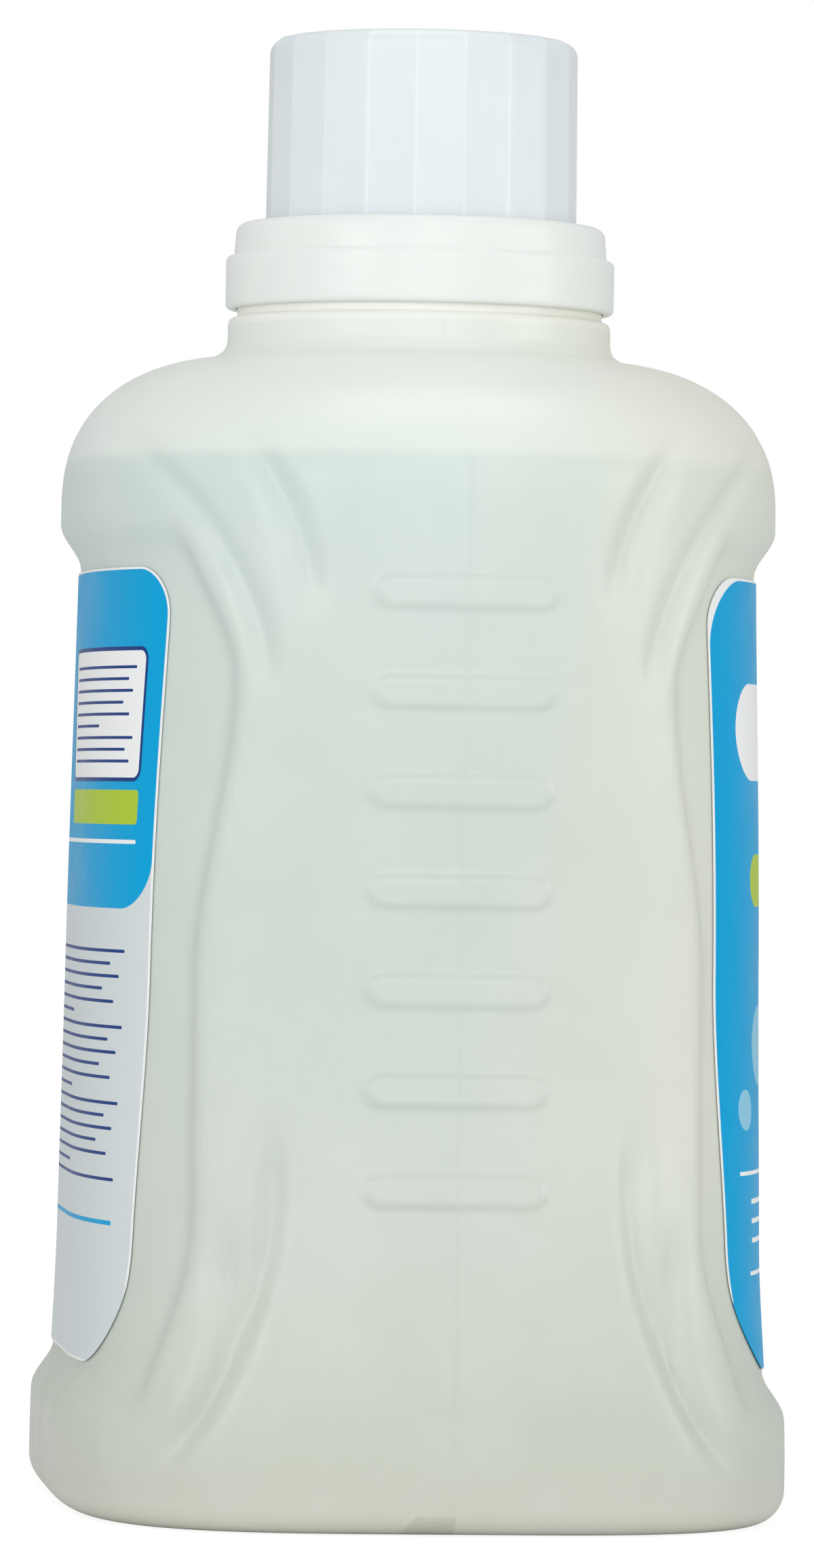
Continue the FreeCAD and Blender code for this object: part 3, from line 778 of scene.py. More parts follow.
@dataclass
class BodyForm:
    """Outside form of the body, with the same sizes and formulas as the solid it stands for."""

    foot_depth: float = 130.0
    shoulder_depth: float = 126.4
    widths: Stations = ((10.0, 78.5), (95.0, 74.0), (176.5, 78.75))
    fullnesses: Stations = ((10.0, 3.6), (48.0, 2.9), (95.0, 2.8), (176.5, 2.3), (203.5, 2.0))
    panel_halves: Stations = ((10.0, 53.0), (52.5, 43.0), (95.0, 43.0), (145.0, 37.0), (176.5, 47.0))
    foot_level: float = 10.0
    shoulder_level: float = 176.5
    shoulder_rise: float = 27.0
    shoulder_fall: float = 2.5
    shoulder_squareness: float = 0.48
    neck_radius: float = 34.3
    recess_depth: float = 3.9
    recess_bottom: float = 25.6
    recess_top: float = 165.6
    recess_step: float = 8.0
    recess_edge: float = 4.0
    flute_widths: tuple = (4.6, 3.6)
    flute_depths: tuple = (2.0, 1.6)
    flute_fade: float = 14.0
    settling_steps: int = 14
    upper_offsets: tuple = (26.0, 33.0)
    upper_tips: tuple = (154.0, 141.0)
    upper_sweep: float = 0.0105
    upper_end: float = 192.0
    lower_offsets: tuple = (31.5, 38.5)
    lower_tips: tuple = (74.0, 56.0)
    lower_sweep: float = 0.0072
    lower_ends: tuple = (6.0, 22.0)

    def hull(self, level: Array) -> tuple:
        """Give the sizes of the squared oval.

        Args:
            level: Levels.

        Returns:
            Half depth, half width and fullness at each level.
        """
        low, high = self.foot_depth / 2, self.shoulder_depth / 2
        share = np.clip((level - self.foot_level) / (self.shoulder_level - self.foot_level), 0.0, 1.0)
        depth = low + (high - low) * share
        width = through(level, self.widths)
        rise = np.clip((level - self.shoulder_level) / self.shoulder_rise, 0.0, 1.0)
        crown = (1 - rise ** self.shoulder_fall) ** self.shoulder_squareness
        depth = self.neck_radius + (depth - self.neck_radius) * crown
        width = self.neck_radius + (width - self.neck_radius) * crown
        return depth, width, through(level, self.fullnesses)

    def recess(self, x: Array, level: Array) -> Array:
        """Give the depth of the label recess.

        Args:
            x: Places along X.
            level: Levels.

        Returns:
            The depths.
        """
        rising = ease(level, self.recess_bottom - self.recess_step, self.recess_bottom)
        falling = 1 - ease(level, self.recess_top, self.recess_top + self.recess_step)
        beyond = np.abs(x) - through(level, self.panel_halves)
        return self.recess_depth * rising * falling * ease(beyond, 0.0, self.recess_edge)

    def flutes(self, x: Array, level: Array) -> Array:
        """Give the depth of the grip flutes.

        Args:
            x: Places along X.
            level: Levels.

        Returns:
            The depths.
        """
        depth = np.zeros(np.broadcast(x, level).shape)
        reach = np.abs(x)
        for index, (wide, deep) in enumerate(zip(self.flute_widths, self.flute_depths)):
            tip = self.upper_tips[index]
            centre = self.upper_offsets[index] + self.upper_sweep * np.maximum(0.0, level - tip) ** 2
            strength = ease(level, tip, tip + self.flute_fade)
            strength = strength * (1 - ease(level, self.upper_end - self.flute_fade, self.upper_end))
            depth = depth + deep * strength * np.exp(-((reach - centre) / (wide / 2)) ** 2)
            tip = self.lower_tips[index]
            below = np.maximum(0.0, tip - self.flute_fade - level)
            centre = self.lower_offsets[index] + self.lower_sweep * below ** 2
            strength = 1 - ease(level, tip - self.flute_fade, tip)
            end = self.lower_ends[index]
            strength = strength * ease(level, end, end + self.flute_fade)
            depth = depth + deep * strength * np.exp(-((reach - centre) / (wide / 2)) ** 2)
        return depth

    def plain_radius(self, angle: Array, level: Array) -> Array:
        """Give the distance from the axis to the squared oval.

        Args:
            angle: Angles from -Y.
            level: Levels.

        Returns:
            The distances, without relief.
        """
        depth, width, fullness = self.hull(level)
        along = np.abs(np.sin(angle)) / depth
        across = np.abs(np.cos(angle)) / width
        return (along ** fullness + across ** fullness) ** (-1 / fullness)

    def wall_radius(self, angle: Array, level: Array) -> Array:
        """Give the distance from the axis to the outside of the wall.

        Args:
            angle: Angles from -Y.
            level: Levels.

        Returns:
            The distances.
        """
        plain = self.plain_radius(angle, level)
        x = plain * np.sin(angle)
        return plain - self.recess(x, level) - self.flutes(x, level)

    def side_distance(self, y: Array, level: Array) -> Array:
        """Find the wall of a label face.

        Args:
            y: Places across the face.
            level: Levels.

        Returns:
            The distances along X from the middle plane.
        """
        angle = np.full(np.broadcast(y, level).shape, math.pi / 2)
        for _ in range(self.settling_steps):
            angle = np.arccos(np.clip(-y / self.wall_radius(angle, level), -1.0, 1.0))
        return self.wall_radius(angle, level) * np.sin(angle)


@dataclass
class BottleShell:
    """The blow-moulded shell: body, base, shoulder, neck and snap finish."""

    form: BodyForm
    wall: float = 1.1
    foot_round: float = 5.5
    standing_ring: float = 4.0
    push_up: float = 3.0
    push_up_slope: float = 5.0
    rib_count: int = 7
    rib_pitch: float = 17.0
    rib_length: float = 31.0
    rib_height: float = 5.6
    rib_relief: float = 0.9
    rib_middle: float = 109.5
    rib_edge: tuple = (-0.75, 0.45)
    widest: float = 79.39
    seam_relief: float = 0.14
    seam_half: float = 0.33
    weld_middle: float = 4.0
    weld_lean: float = 0.4
    weld_narrowing: float = 0.39
    weld_half: tuple = (4.4, 5.1)
    weld_top: tuple = (2.9, 3.5)
    weld_relief: float = 0.3
    finish_radius: float = 32.7
    bore_radius: float = 31.2

    def quarter(self) -> Array:
        """Space the columns of a quarter turn.

        Returns:
            Angles, closer together where the relief is fine.
        """
        degrees = np.linspace(0.0, 90.0, 3601)
        pace = 0.42 + 2.6 * np.exp(-(degrees / 0.55) ** 2) + 0.85 * (1 - ease(degrees, 12.5, 15.0))
        pace += 0.5 * np.exp(-((degrees - 30) / 16) ** 2)
        total = np.concatenate([[0.0], np.cumsum((pace[1:] + pace[:-1]) / 2 * 0.025)])
        count = 71
        return np.radians(np.interp(np.arange(count) * total[-1] / count, total, degrees))

    def angles(self) -> Array:
        """Space the columns right round.

        Returns:
            Angles, mirrored from quarter to quarter.
        """
        quarter = self.quarter()
        half = np.concatenate([quarter, [math.pi / 2], math.pi - quarter[:0:-1]])
        return np.concatenate([half, math.pi + half])

    def ribs(self, x: Array, level: Array) -> Array:
        """Give the height of the raised ribs of the grip panels.

        Args:
            x: Places along X.
            level: Levels.

        Returns:
            The heights.
        """
        half = self.rib_height / 2
        reach = self.rib_length / 2 - half
        first = self.rib_middle - self.rib_pitch * (self.rib_count - 1) / 2
        nearest = np.clip(np.round((level - first) / self.rib_pitch), 0, self.rib_count - 1)
        away = level - first - nearest * self.rib_pitch
        distance = np.hypot(np.maximum(np.abs(x) - reach, 0.0), away) - half
        return self.rib_relief * (1 - ease(distance, *self.rib_edge))

    def seam(self, x: Array, level: Array) -> Array:
        """Give the height of the mould line, with its wider pinched end at the foot.

        Args:
            x: Places along X.
            level: Levels.

        Returns:
            The heights.
        """
        line = self.seam_relief * np.exp(-(x / self.seam_half) ** 2)
        reach = np.abs(x + self.weld_middle - self.weld_lean * level) + self.weld_narrowing * level
        tail = self.weld_relief * (1 - ease(reach, *self.weld_half)) * (1 - ease(level, *self.weld_top))
        return np.maximum(line, tail)

    def relief(self, angle: Array, level: Array) -> Array:
        """Give the ribs and the mould line together, kept inside the solid's width.

        Args:
            angle: Angles from -Y.
            level: Levels.

        Returns:
            The heights.
        """
        plain = self.form.plain_radius(angle, level)
        x = plain * np.sin(angle)
        room = np.maximum(self.widest - plain * np.abs(np.cos(angle)), 0.0)
        return self.ribs(x, level) + np.minimum(self.seam(x, level), room)

    def wall_levels(self) -> Array:
        """Space the rows above the foot.

        Returns:
            Levels, closer together at the ribs and the shoulder.
        """
        ribs_low = self.rib_middle - self.rib_pitch * 3 - 5
        ribs_high = self.rib_middle + self.rib_pitch * 3 + 5
        low = np.arange(self.foot_round + 0.8, ribs_low, 1.25)
        middle = np.arange(ribs_low, ribs_high, 0.64)
        high = np.arange(ribs_high, self.form.shoulder_level + 4, 1.1)
        turn = np.linspace(0.0, math.pi / 2, 30)[:-1]
        start = self.form.shoulder_level + 4.6
        top = self.form.shoulder_level + self.form.shoulder_rise
        return np.concatenate([low, middle, high, start + (top - 0.35 - start) * np.sin(turn)])

    def neck_profile(self) -> list:
        """Draw the outside of the neck and finish.

        Returns:
            Points from the shoulder fillet to the top of the mouth.
        """
        neck, finish = self.form.neck_radius, self.finish_radius
        steps = (
            (neck, ((2.6, 203.75), (1.5, 204.35), (0.7, 205.0), (0.2, 205.9), (0.0, 207.0), (0.0, 208.3),
                    (0.0, 209.6), (-0.1, 210.2), (-0.35, 210.7), (-0.8, 210.95))),
            (finish, ((0.25, 211.0), (0.0, 211.3), (0.0, 213.1), (0.5, 213.8), (0.7, 214.5), (0.5, 215.3),
                      (0.0, 216.2), (0.0, 220.0), (0.0, 224.6), (-0.1, 225.3), (-0.5, 225.75),
                      (-0.9, 225.8))),
        )
        return [(radius + more, level) for radius, rows in steps for more, level in rows]

    def outside(self, angle: Array) -> list:
        """Give the rings of the outside, from the middle of the base up to the mouth.

        Args:
            angle: Angles from -Y.

        Returns:
            The rings.
        """
        edge = self.form.wall_radius(angle, self.foot_round)
        ring_edge = self.foot_round + self.standing_ring
        slope = self.push_up_slope
        rows = [(edge - ring_edge - slope) * share for share in (0.1, 0.35, 0.65, 0.9)]
        rings = [placed(row, angle, self.push_up) for row in rows]
        for share in (1.0, 0.85, 0.65, 0.5, 0.35, 0.15, 0.0):
            level = self.push_up * float(ease(share, 0.0, 1.0))
            rings.append(placed(edge - ring_edge - slope * share, angle, level))
        rings.append(placed(edge - self.foot_round - 0.3, angle, 0.0))
        for turn in np.linspace(0.0, math.pi / 2, 14):
            level = self.foot_round * (1 - math.cos(turn))
            reach = self.foot_round * (1 - math.sin(turn))
            seam = self.seam(edge * np.sin(angle), level) * math.sin(turn)
            rings.append(placed(edge - reach + seam, angle, level))
        for level in self.wall_levels():
            radius = self.form.wall_radius(angle, level) + self.relief(angle, level)
            rings.append(placed(radius, angle, level))
        for radius, level in self.neck_profile():
            line = self.seam(radius * np.sin(angle), level) if level < 210.0 else 0.0
            rings.append(placed(radius + line, angle, level))
        return rings

    def inside(self, angle: Array) -> list:
        """Give the rings of the inside, from the mouth down to the middle of the floor.

        Args:
            angle: Angles from -Y.

        Returns:
            The rings.
        """
        rings = [placed(self.bore_radius, angle, level) for level in (225.8, 225.5, 221.0, 212.0, 206.5)]
        top = self.form.shoulder_level + self.form.shoulder_rise
        edge = self.form.wall_radius(angle, self.foot_round)
        shoulder = top - self.form.shoulder_rise * (1 - np.sin(np.linspace(1.45, 0.0, 14)))
        for level in np.concatenate([shoulder, np.linspace(172, 14, 36)]):
            lean = float(ease(level, self.form.shoulder_level, top))
            radius = self.form.wall_radius(angle, level) - self.wall * (1 - 0.3 * lean)
            rings.append(placed(np.maximum(radius, self.bore_radius), angle, level - self.wall * lean))
        round_in = self.foot_round - self.wall
        for turn in np.linspace(math.pi / 2, 0.0, 7):
            level = self.foot_round - round_in * math.cos(turn)
            rings.append(placed(edge - self.foot_round + round_in * math.sin(turn), angle, level))
        floor = self.push_up + self.wall
        for share in (0.35, 0.65, 1.0):
            level = self.wall + self.push_up * float(ease(share, 0.0, 1.0))
            reach = edge - self.foot_round - self.standing_ring - self.push_up_slope * share
            rings.append(placed(reach, angle, level))
        rings += [placed((edge - 19) * share, angle, floor) for share in (0.8, 0.4, 0.1)]
        return rings

    def build(self, finish: Material) -> None:
        """Build the shell and dress it.

        Args:
            finish: Its material.
        """
        angle = self.angles()
        grid = np.stack(self.outside(angle) + self.inside(angle))
        points, faces = lathe(grid, True, True)
        settle(make_piece("bottle_shell", points, faces, 60.0), finish, "bottle", "natural_hdpe", "bottle")


@dataclass
class PourSpout:
    """Snap-on collar with its drain well and slanted pouring tube."""

    columns: int = 192
    collar: float = 34.8
    upper: float = 33.4
    bottom: float = 212.6
    step: float = 222.0
    deck: float = 228.0
    well: float = 27.6
    floor: float = 198.0
    bore: float = 13.6
    tube: float = 15.0
    tube_top: float = 239.0
    slant: float = 9.0
    flare: float = 1.2
    slot_half: float = 9.5
    slot_span: tuple = (15.9, 26.7)
    floor_wall: float = 1.6
    thread_depth: float = 0.3

    def collar_profile(self) -> list:
        """Draw the outside of the collar, its deck and the mouth of the well.

        Returns:
            The points.
        """
        round_low, round_high = 0.8, 1.9
        profile = [(33.0, self.bottom), (33.6, self.bottom)]
        profile += arc((self.collar - round_low, self.bottom + round_low), round_low, -90, 0, 4)
        profile += [(self.collar, level) for level in (214.5, 216.5, 219.0)]
        profile += arc((self.collar - round_low, self.step - round_low), round_low, 0, 90, 4)
        profile += [(self.upper + 0.25, self.step), (self.upper, self.step + 0.25), (self.upper - 0.1, 223.6)]
        profile += arc((self.upper - 0.3 - round_high, self.deck - round_high), round_high, 0, 90, 6)
        profile += [(29.6, self.deck), (28.9, self.deck), (28.5, self.deck - 0.35)]
        return profile + [(28.45, 225.7), (28.2, 225.4), (27.9, 225.4)]

    def rings(self, angle: Array) -> list:
        """Give the rings of the whole moulding, from the bottom of the collar round to its inside.

        Args:
            angle: Angles from -Y.

        Returns:
            The rings.
        """
        rings = turned(self.collar_profile(), angle)
        for level in np.arange(224.9, 199.5, -0.45):
            groove = self.thread_depth * thread(angle, level, 0.8, 2, (202.3, 221.8))
            rings.append(placed(self.well + groove, angle, level))
        rings += turned(arc((26.6, self.floor + 1.0), 1.0, 0, -90, 3), angle)
        rings += [placed(radius, angle, self.floor) for radius in (24.0, 21.0, 18.5, 16.0)]
        rings += turned(arc((16.0, self.floor + 1.0), 1.0, -90, -180, 3)[1:], angle)
        reach = self.tube + self.flare
        side = np.sin(angle) * reach
        top = self.tube_top - self.slant * (reach - side) / (2 * reach) - 0.15
        for share in np.linspace(0.04, 1.0, 24):
            level = self.floor + 1.0 + (top - 1.35 - self.floor) * share
            wide = self.flare * ease(level, self.tube_top - self.slant - 2, self.tube_top)
            rings.append(placed(self.tube + wide, angle, level))
        wide = self.flare * ease(top, self.tube_top - self.slant - 2, self.tube_top)
        rings += [placed(self.tube + wide - 0.35, angle, top), placed(self.bore + wide + 0.35, angle, top)]
        for share in np.linspace(1.0, 0.0, 22):
            level = self.floor - self.floor_wall + (top - 0.35 - self.floor + self.floor_wall) * share
            wide = self.flare * ease(level, self.tube_top - self.slant - 2, self.tube_top)
            rings.append(placed(self.bore + wide, angle, level))
        under = self.floor - self.floor_wall
        rings += [placed(radius, angle, under) for radius in (16.0, 18.5, 21.0, 24.0, 26.6, 29.4)]
        rings += [placed(29.8, angle, level) for level in (196.8, 204.5, 214.5, 225.6)]
        profile = [(30.3, 226.1), (32.6, 226.1), (33.0, 225.7), (33.0, 217.5), (33.6, 215.8), (33.6, 213.5)]
        return rings + turned(profile + [(33.0, 212.9)], angle)

    def cut_slot(self, grid: Array, faces: list) -> list:
        """Cut the drain slot through the floor of the well.

        Args:
            grid: Points shaped rows by columns by 3.
            faces: Corner numbers of each face.

        Returns:
            The faces with the slot and its sides.
        """
        radius = np.hypot(grid[:, 0, 0], grid[:, 0, 1])
        near, far = self.slot_span
        sides = []
        for level in (self.floor, self.floor - self.floor_wall):
            flat = np.abs(grid[:, 0, 2] - level) < 0.01
            rows = np.flatnonzero(flat & (radius > near) & (radius < far))
            sides.append((rows[np.argsort(radius[rows])] * self.columns).tolist())
        upper, lower = sides
        turn = np.degrees(around(self.columns))
        inside = np.flatnonzero(np.abs(turn - 90) <= self.slot_half).tolist()
        gone = set()
        for rows in sides:
            for first, second in zip(rows, rows[1:]):
                for column in inside[:-1]:
                    a, b = first + column, second + column
                    gone.add(frozenset((a, a + 1, b, b + 1)))
        faces = [face for face in faces if frozenset(face) not in gone]
        for end in (0, -1):
            for column in inside[:-1]:
                a, b = upper[end] + column, lower[end] + column
                faces.append([a, a + 1, b + 1, b])
        for column in (inside[0], inside[-1]):
            for row in range(len(upper) - 1):
                corners = (upper[row], upper[row + 1], lower[row + 1], lower[row])
                faces.append([corner + column for corner in corners])
        return faces

    def build(self, finish: Material) -> None:
        """Build the moulding and dress it.

        Args:
            finish: Its material.
        """
        grid = np.stack(self.rings(around(self.columns)))
        points, faces = lathe(grid, False, False, loop=True)
        faces = self.cut_slot(grid, faces)
        piece = make_piece("pour_spout_moulding", points, faces)
        settle(piece, finish, "bottle", "spout_plastic", "pour_spout")


@dataclass
class MeasuringCap:
    """Inverted measuring cup with flats outside and a threaded skirt."""

    flats: int = 20
    steps: int = 10
    corner: float = 27.95
    skirt: float = 27.1
    bore: float = 25.6
    low: float = 206.7
    seat: float = 225.7
    top: float = 261.2
    top_round: float = 2.6
    draft: float = 0.3
    thread_relief: float = 0.28
    sharpness: float = 12.0
    ceiling_wall: float = 1.6
    inner_round: float = 1.85

    def angles(self) -> Array:
        """Space the columns right round.

        Returns:
            Angles, closer together at the corners between flats.
        """
        share = np.arange(self.steps) / self.steps
        bunched = share - np.sin(2 * math.pi * share) / (2 * math.pi) * 0.6
        pitch = 2 * math.pi / self.flats
        turns = (np.arange(self.flats)[:, None] + bunched[None, :]).ravel() * pitch
        return turns + pitch / 2 + math.pi / 2

    def flat_radius(self, angle: Array, reach: float) -> Array:
        """Give the distance from the axis to the flats, with their corners eased.

        Args:
            angle: Angles from -Y.
            reach: Distance to the corners.

        Returns:
            The distances.
        """
        pitch = 2 * math.pi / self.flats
        turn = (angle - math.pi / 2) % pitch
        turn = np.where(turn > pitch / 2, turn - pitch, turn)
        apothem = reach * math.cos(pitch / 2)
        near = apothem / np.cos(turn)
        beyond = apothem / np.cos(pitch - np.abs(turn))
        return near - np.log1p(np.exp(-self.sharpness * (beyond - near))) / self.sharpness

    def rings(self, angle: Array) -> list:
        """Give the rings down the inside, from the middle of the ceiling, and up the outside to the top.

        Args:
            angle: Angles from -Y.

        Returns:
            The rings.
        """
        ceiling, inner_round = self.top - self.ceiling_wall, self.inner_round
        rings = [placed(radius, angle, ceiling) for radius in (1.0, 8.0, 17.0, 22.5)]
        profile = arc((self.bore - inner_round, ceiling - inner_round), inner_round, 90, 0, 5)
        profile += [(self.bore, level) for level in (250.0, 240.0, 230.0, 220.0, 212.0, self.low + 0.3)]
        profile += [(self.bore + 0.25, self.low), (self.skirt - 0.4, self.low)]
        profile += [(self.skirt - 0.1, self.low + 0.12)]
        rings += turned(profile, angle)
        for level in np.arange(self.low + 0.4, self.seat - 1.2, 0.4):
            ridge = self.thread_relief * thread(angle, level, 0.75, 4, (self.low + 1.0, 220.3))
            rings.append(placed(self.skirt + ridge, angle, level))
        rings += [placed(self.skirt, angle, self.seat - 0.5), placed(self.skirt, angle, self.seat)]
        for share in (0.0, 0.3, 0.7, 1.0):
            reach = self.skirt + 0.15 + (self.flat_radius(angle, self.corner) - self.skirt - 0.15) * share
            rings.append(placed(reach, angle, self.seat + 0.25 * float(ease(share, 0.6, 1.4))))
        rise = self.top - self.seat
        for level in np.linspace(self.seat + 0.6, self.top - self.top_round, 16):
            reach = self.corner - self.draft * (level - self.seat) / rise
            rings.append(placed(self.flat_radius(angle, reach), angle, level))
        crown = self.flat_radius(angle, self.corner - self.draft)
        for turn in np.linspace(0.0, math.pi / 2, 9)[1:]:
            drop = self.top_round * (1 - math.cos(turn))
            rings.append(placed(crown - drop, angle, self.top - self.top_round * (1 - math.sin(turn))))
        for share, dip in ((0.93, 0.0), (0.86, 0.0), (0.8, 0.25), (0.72, 0.5), (0.4, 0.5), (0.1, 0.5)):
            rings.append(placed((crown - self.top_round) * share, angle, self.top - dip))
        return rings

    def build(self, finish: Material) -> None:
        """Build the cap and dress it.

        Args:
            finish: Its material.
        """
        angle = self.angles()
        points, faces = lathe(np.stack(self.rings(angle)), True, True)
        settle(make_piece("measuring_cap", points, faces, 50.0), finish, "cap", "cap_plastic", "cap")


@dataclass
class CurvedLabel:
    """A printed label that lies on the floor of a label recess."""

    form: BodyForm
    face: Face
    node: str
    width: float
    low: float = 26.4
    high: float = 164.8
    top_corner: float = 9.0
    bottom_corner: float = 16.0
    glue_line: float = 0.3
    thickness: float = 0.12

    def half_width(self, level: Array) -> Array:
        """Give half the label's width, with its round corners.

        Args:
            level: Levels.

        Returns:
            The half widths.
        """
        half = self.width / 2
        below = np.clip(self.low + self.bottom_corner - level, 0.0, self.bottom_corner)
        above = np.clip(level - self.high + self.top_corner, 0.0, self.top_corner)
        cut = self.bottom_corner - np.sqrt(self.bottom_corner ** 2 - below ** 2)
        return half - cut - self.top_corner + np.sqrt(self.top_corner ** 2 - above ** 2)

    def levels(self) -> Array:
        """Space the rows.

        Returns:
            Levels, closer together at the corners.
        """
        turn = np.linspace(0.0, math.pi / 2, 14)
        foot = self.low + self.bottom_corner * (1 - np.cos(turn))
        head = self.high - self.top_corner * (1 - np.cos(turn))[::-1]
        return np.concatenate([foot, np.linspace(foot[-1], head[0], 60)[1:-1], head])

    def build(self, finish: Material) -> None:
        """Build the thin sheet and dress it.

        Args:
            finish: Its material.
        """
        level = self.levels()[:, None]
        share = np.linspace(-1.0, 1.0, 81)[None, :]
        across = self.half_width(level) * share
        levels = np.broadcast_to(level, across.shape)
        floor = self.form.side_distance(across, levels)
        sheets = []
        for lift in (self.glue_line, self.glue_line + self.thickness):
            sheets.append(np.stack([self.face.value * (floor + lift), across, levels], -1))
        rows, columns = across.shape
        grid = quads(rows, columns, False).reshape(-1, 4)
        count = rows * columns
        faces = grid.tolist() + (grid + count).tolist()
        rim = list(range(columns))
        rim += [row * columns + columns - 1 for row in range(1, rows)]
        rim += [(rows - 1) * columns + column for column in range(columns - 2, -1, -1)]
        rim += [row * columns for row in range(rows - 2, 0, -1)]
        for first, second in zip(rim, rim[1:] + rim[:1]):
            faces.append([first, second, second + count, first + count])
        points = np.concatenate([sheet.reshape(-1, 3) for sheet in sheets])
        settle(make_piece(self.node + "_sheet", points, faces), finish, "bottle", "label_print", self.node)


@dataclass
class Studio:
    """Pale floor, soft lamps and the camera at the photograph's viewing angle."""

    distance: float = 1.46
    look_level: float = 0.128
    eye_level: float = 0.124
    azimuth: float = -6.6
    shift_right: float = -0.00075
    roll: float = 1.0
    lens: float = 186.85
    white: tuple = (1.0, 1.0, 1.0, 1.0)
    room_light: float = 0.54
    room_seen: float = 0.46
    floor_half: float = 12.0
    floor_level: float = -0.0002
    floor_shade: float = 0.85
    floor_glow: float = 1.24
    floor_glow_share: float = 0.7
    lamp_aim: float = 0.12
    lamps: list = field(default_factory=lambda: [
        ("front_lamp", (-0.1, -1.8, 0.7), 1.4, 6.9),
        ("right_lamp", (1.6, -0.8, 0.5), 1.0, 5.6),
        ("left_lamp", (-1.3, -1.25, 0.6), 1.0, 6.4),
        ("top_lamp", (0.0, 0.1, 1.7), 1.2, 5.0),
    ])

    def camera(self) -> None:
        """Place the camera."""
        data = bpy.data.cameras.new("camera")
        data.lens = self.lens
        data.sensor_width = 36.0
        data.clip_start, data.clip_end = 0.05, 20.0
        camera = bpy.data.objects.new("camera", data)
        turn = math.radians(self.azimuth)
        back = Vector((math.sin(turn), -math.cos(turn), 0.0))
        right = Vector((math.cos(turn), math.sin(turn), 0.0))
        target = Vector((0.0, 0.0, self.look_level)) + right * self.shift_right
        camera.location = Vector((target.x, target.y, self.eye_level)) + back * self.distance
        facing = (target - camera.location).to_track_quat("-Z", "Y").to_matrix().to_4x4()
        rolled = Matrix.Rotation(math.radians(self.roll), 4, "Z")
        camera.matrix_world = Matrix.Translation(camera.location) @ facing @ rolled
        bpy.context.scene.collection.objects.link(camera)
        bpy.context.scene.camera = camera

    def world(self) -> None:
        """Even light from all round, which the camera sees as white."""
        world = bpy.data.worlds.new("soft_room")
        world.use_nodes = True
        graph = Graph(world.node_tree)
        back = world.node_tree.nodes["Background"]
        path = graph.add("ShaderNodeLightPath")
        seen = graph.sum("MAXIMUM", path.outputs["Is Camera Ray"], path.outputs["Is Transmission Ray"])
        graph.feed(back.inputs["Strength"], graph.plus(graph.times(seen, self.room_seen), self.room_light))
        back.inputs["Color"].default_value = self.white
        bpy.context.scene.world = world

    def floor(self) -> None:
        """Lay a wide pale floor that keeps a little of the object's shadow."""
        mesh = bpy.data.meshes.new("floor")
        corners = ((-1, -1), (1, -1), (1, 1), (-1, 1))
        points = [(x * self.floor_half, y * self.floor_half, self.floor_level) for x, y in corners]
        mesh.from_pydata(points, [], [(0, 1, 2, 3)])
        floor = bpy.data.objects.new("floor", mesh)
        bpy.context.scene.collection.objects.link(floor)
        finish = bpy.data.materials.new("pale_floor")
        finish.use_nodes = True
        graph = Graph(finish.node_tree)
        shader = finish.node_tree.nodes["Principled BSDF"]
        shader.inputs["Base Color"].default_value = (*[self.floor_shade] * 3, 1.0)
        shader.inputs["Roughness"].default_value = 0.9
        glow = graph.add("ShaderNodeEmission")
        glow.inputs["Color"].default_value = self.white
        glow.inputs["Strength"].default_value = self.floor_glow
        path = graph.add("ShaderNodeLightPath")
        blend = graph.add("ShaderNodeMixShader")
        graph.feed(blend.inputs[0], graph.times(path.outputs["Is Camera Ray"], self.floor_glow_share))
        graph.feed(blend.inputs[1], shader.outputs[0])
        graph.feed(blend.inputs[2], glow.outputs[0])
        graph.feed(finish.node_tree.nodes["Material Output"].inputs["Surface"], blend.outputs[0])
        mesh.materials.append(finish)

    def build(self) -> None:
        """Build the whole studio."""
        self.camera()
        self.world()
        self.floor()
        for name, place, size, power in self.lamps:
            data = bpy.data.lights.new(name, "AREA")
            data.shape = "DISK"
            data.size = size
            data.energy = power
            lamp = bpy.data.objects.new(name, data)
            lamp.location = place
            aim = Vector((0.0, 0.0, self.lamp_aim)) - Vector(place)
            lamp.rotation_euler = aim.to_track_quat("-Z", "Y").to_euler()
            bpy.context.scene.collection.objects.link(lamp)
        bpy.context.scene.view_settings.view_transform = "Standard"


BLUE = (0, 166, 222)
NAVY = (24, 62, 132)
LIME = (178, 206, 58)
WHITE = (246, 248, 248)
PALE = (216, 224, 226)
SKY = (142, 206, 232)
BAR_REACHES = (1.0, 0.94, 0.98, 0.9, 0.96, 0.62)


def text_bars(across: float, top: float, half: float, rows: int, pitch: float, colour: Rgb) -> tuple:
    """Thin bars of uneven length, one for each line of small print.

    Args:
        across: Middle of the block.
        top: Level of the first bar.
        half: Half the width of the longest bar.
        rows: Number of bars.
        pitch: Distance from bar to bar.
        colour: Display colour.

    Returns:
        The shapes.
    """
    bars = []
    for row in range(rows):
        reach = half * BAR_REACHES[row % len(BAR_REACHES)]
        middle, thin = across - half + reach, pitch * 0.13
        bars.append(PrintShape(middle, top - row * pitch, reach, thin, pitch * 0.12, colour))
    return tuple(bars)


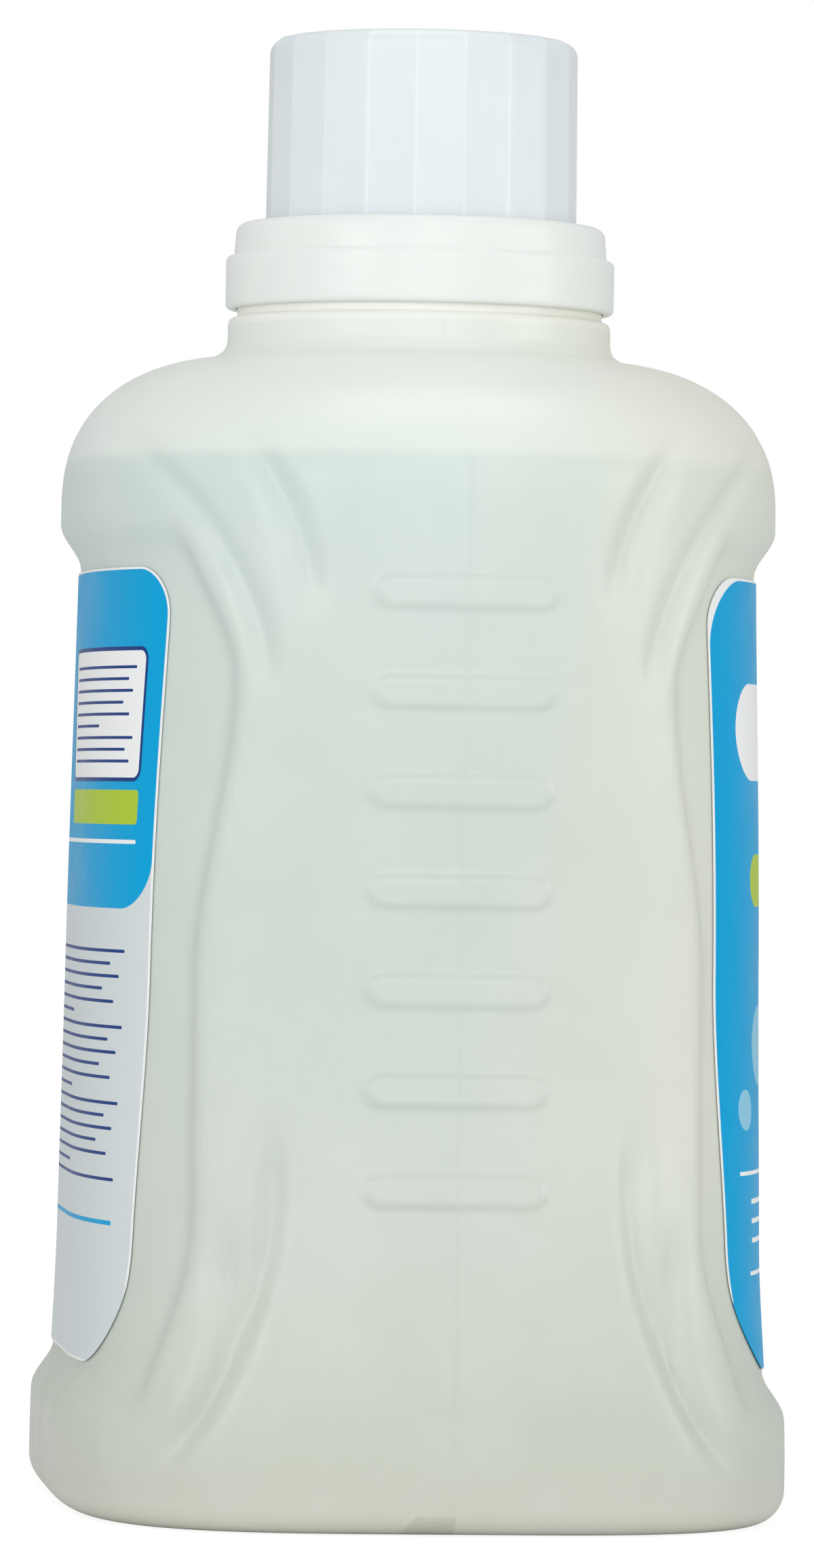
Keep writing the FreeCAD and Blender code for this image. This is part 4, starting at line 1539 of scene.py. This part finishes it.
def front_print(width: float) -> tuple:
    """Lay out the print of the front label.

    Args:
        width: Width of the label.

    Returns:
        The shapes.
    """
    return (
        PrintShape(0.0, 95.6, width / 2 - 0.4, 68.8, 12.0, BLUE),
        PrintShape(-2.0, 138.0, 46.0, 8.5, 8.5, WHITE),
        PrintShape(0.0, 112.0, 42.0, 4.6, 4.6, LIME),
        PrintShape(26.0, 78.0, 12.5, 12.5, 12.5, SKY),
        PrintShape(-34.0, 83.0, 7.0, 7.0, 7.0, SKY),
        PrintShape(-14.0, 74.0, 9.5, 9.5, 9.5, SKY),
        PrintShape(-46.0, 72.0, 3.6, 3.6, 3.6, SKY),
        PrintShape(0.0, 61.0, 50.0, 0.35, 0.3, WHITE),
        PrintShape(0.0, 43.5, 46.0, 0.35, 0.3, WHITE),
    ) + text_bars(0.0, 56.0, 44.0, 3, 3.4, WHITE)


def back_print(width: float) -> tuple:
    """Lay out the print of the back label.

    Args:
        width: Width of the label.

    Returns:
        The shapes.
    """
    return (
        PrintShape(0.0, 95.6, width / 2 - 0.4, 68.8, 12.0, PALE),
        PrintShape(0.0, 134.9, width / 2 - 0.4, 29.5, 8.6, BLUE),
        PrintShape(22.0, 139.2, 24.0, 11.4, 2.0, WHITE),
        PrintShape(22.0, 139.2, 24.0, 11.4, 2.0, NAVY, 0.35),
        PrintShape(22.0, 123.0, 24.0, 3.0, 0.8, LIME),
        PrintShape(0.0, 117.0, 46.0, 0.35, 0.3, WHITE),
        PrintShape(0.0, 50.9, 44.0, 0.4, 0.3, BLUE),
    ) + text_bars(22.0, 147.4, 21.0, 9, 2.05, NAVY) + text_bars(0.0, 98.0, 44.0, 19, 2.2, NAVY)


def main() -> None:
    """Build every piece in order."""
    logging.basicConfig(level=logging.INFO, format="%(message)s")
    effects = SharedEffects()
    form = BodyForm()
    BottleShell(form).build(NaturalPolyethylene().build(effects))
    spout_finish = MouldedPolypropylene("white_polypropylene", (240, 244, 240), (236, 241, 237))
    PourSpout().build(spout_finish.build(effects))
    cap_finish = MouldedPolypropylene("frosted_polypropylene", (231, 238, 241), (227, 235, 239), flats=20)
    MeasuringCap().build(cap_finish.build(effects))
    front = PrintedPaper("front_label_print", Face.FRONT, WHITE, front_print(112.0))
    CurvedLabel(form, Face.FRONT, "front_label", 112.0).build(front.build(effects))
    back = PrintedPaper("back_label_print", Face.BACK, WHITE, back_print(102.0))
    CurvedLabel(form, Face.BACK, "back_label", 102.0).build(back.build(effects))
    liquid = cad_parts["detergent"]
    liquid.data.materials.clear()
    liquid.data.materials.append(ClearDetergent().build(effects))
    Studio().build()


if __name__ == "__main__":
    main()
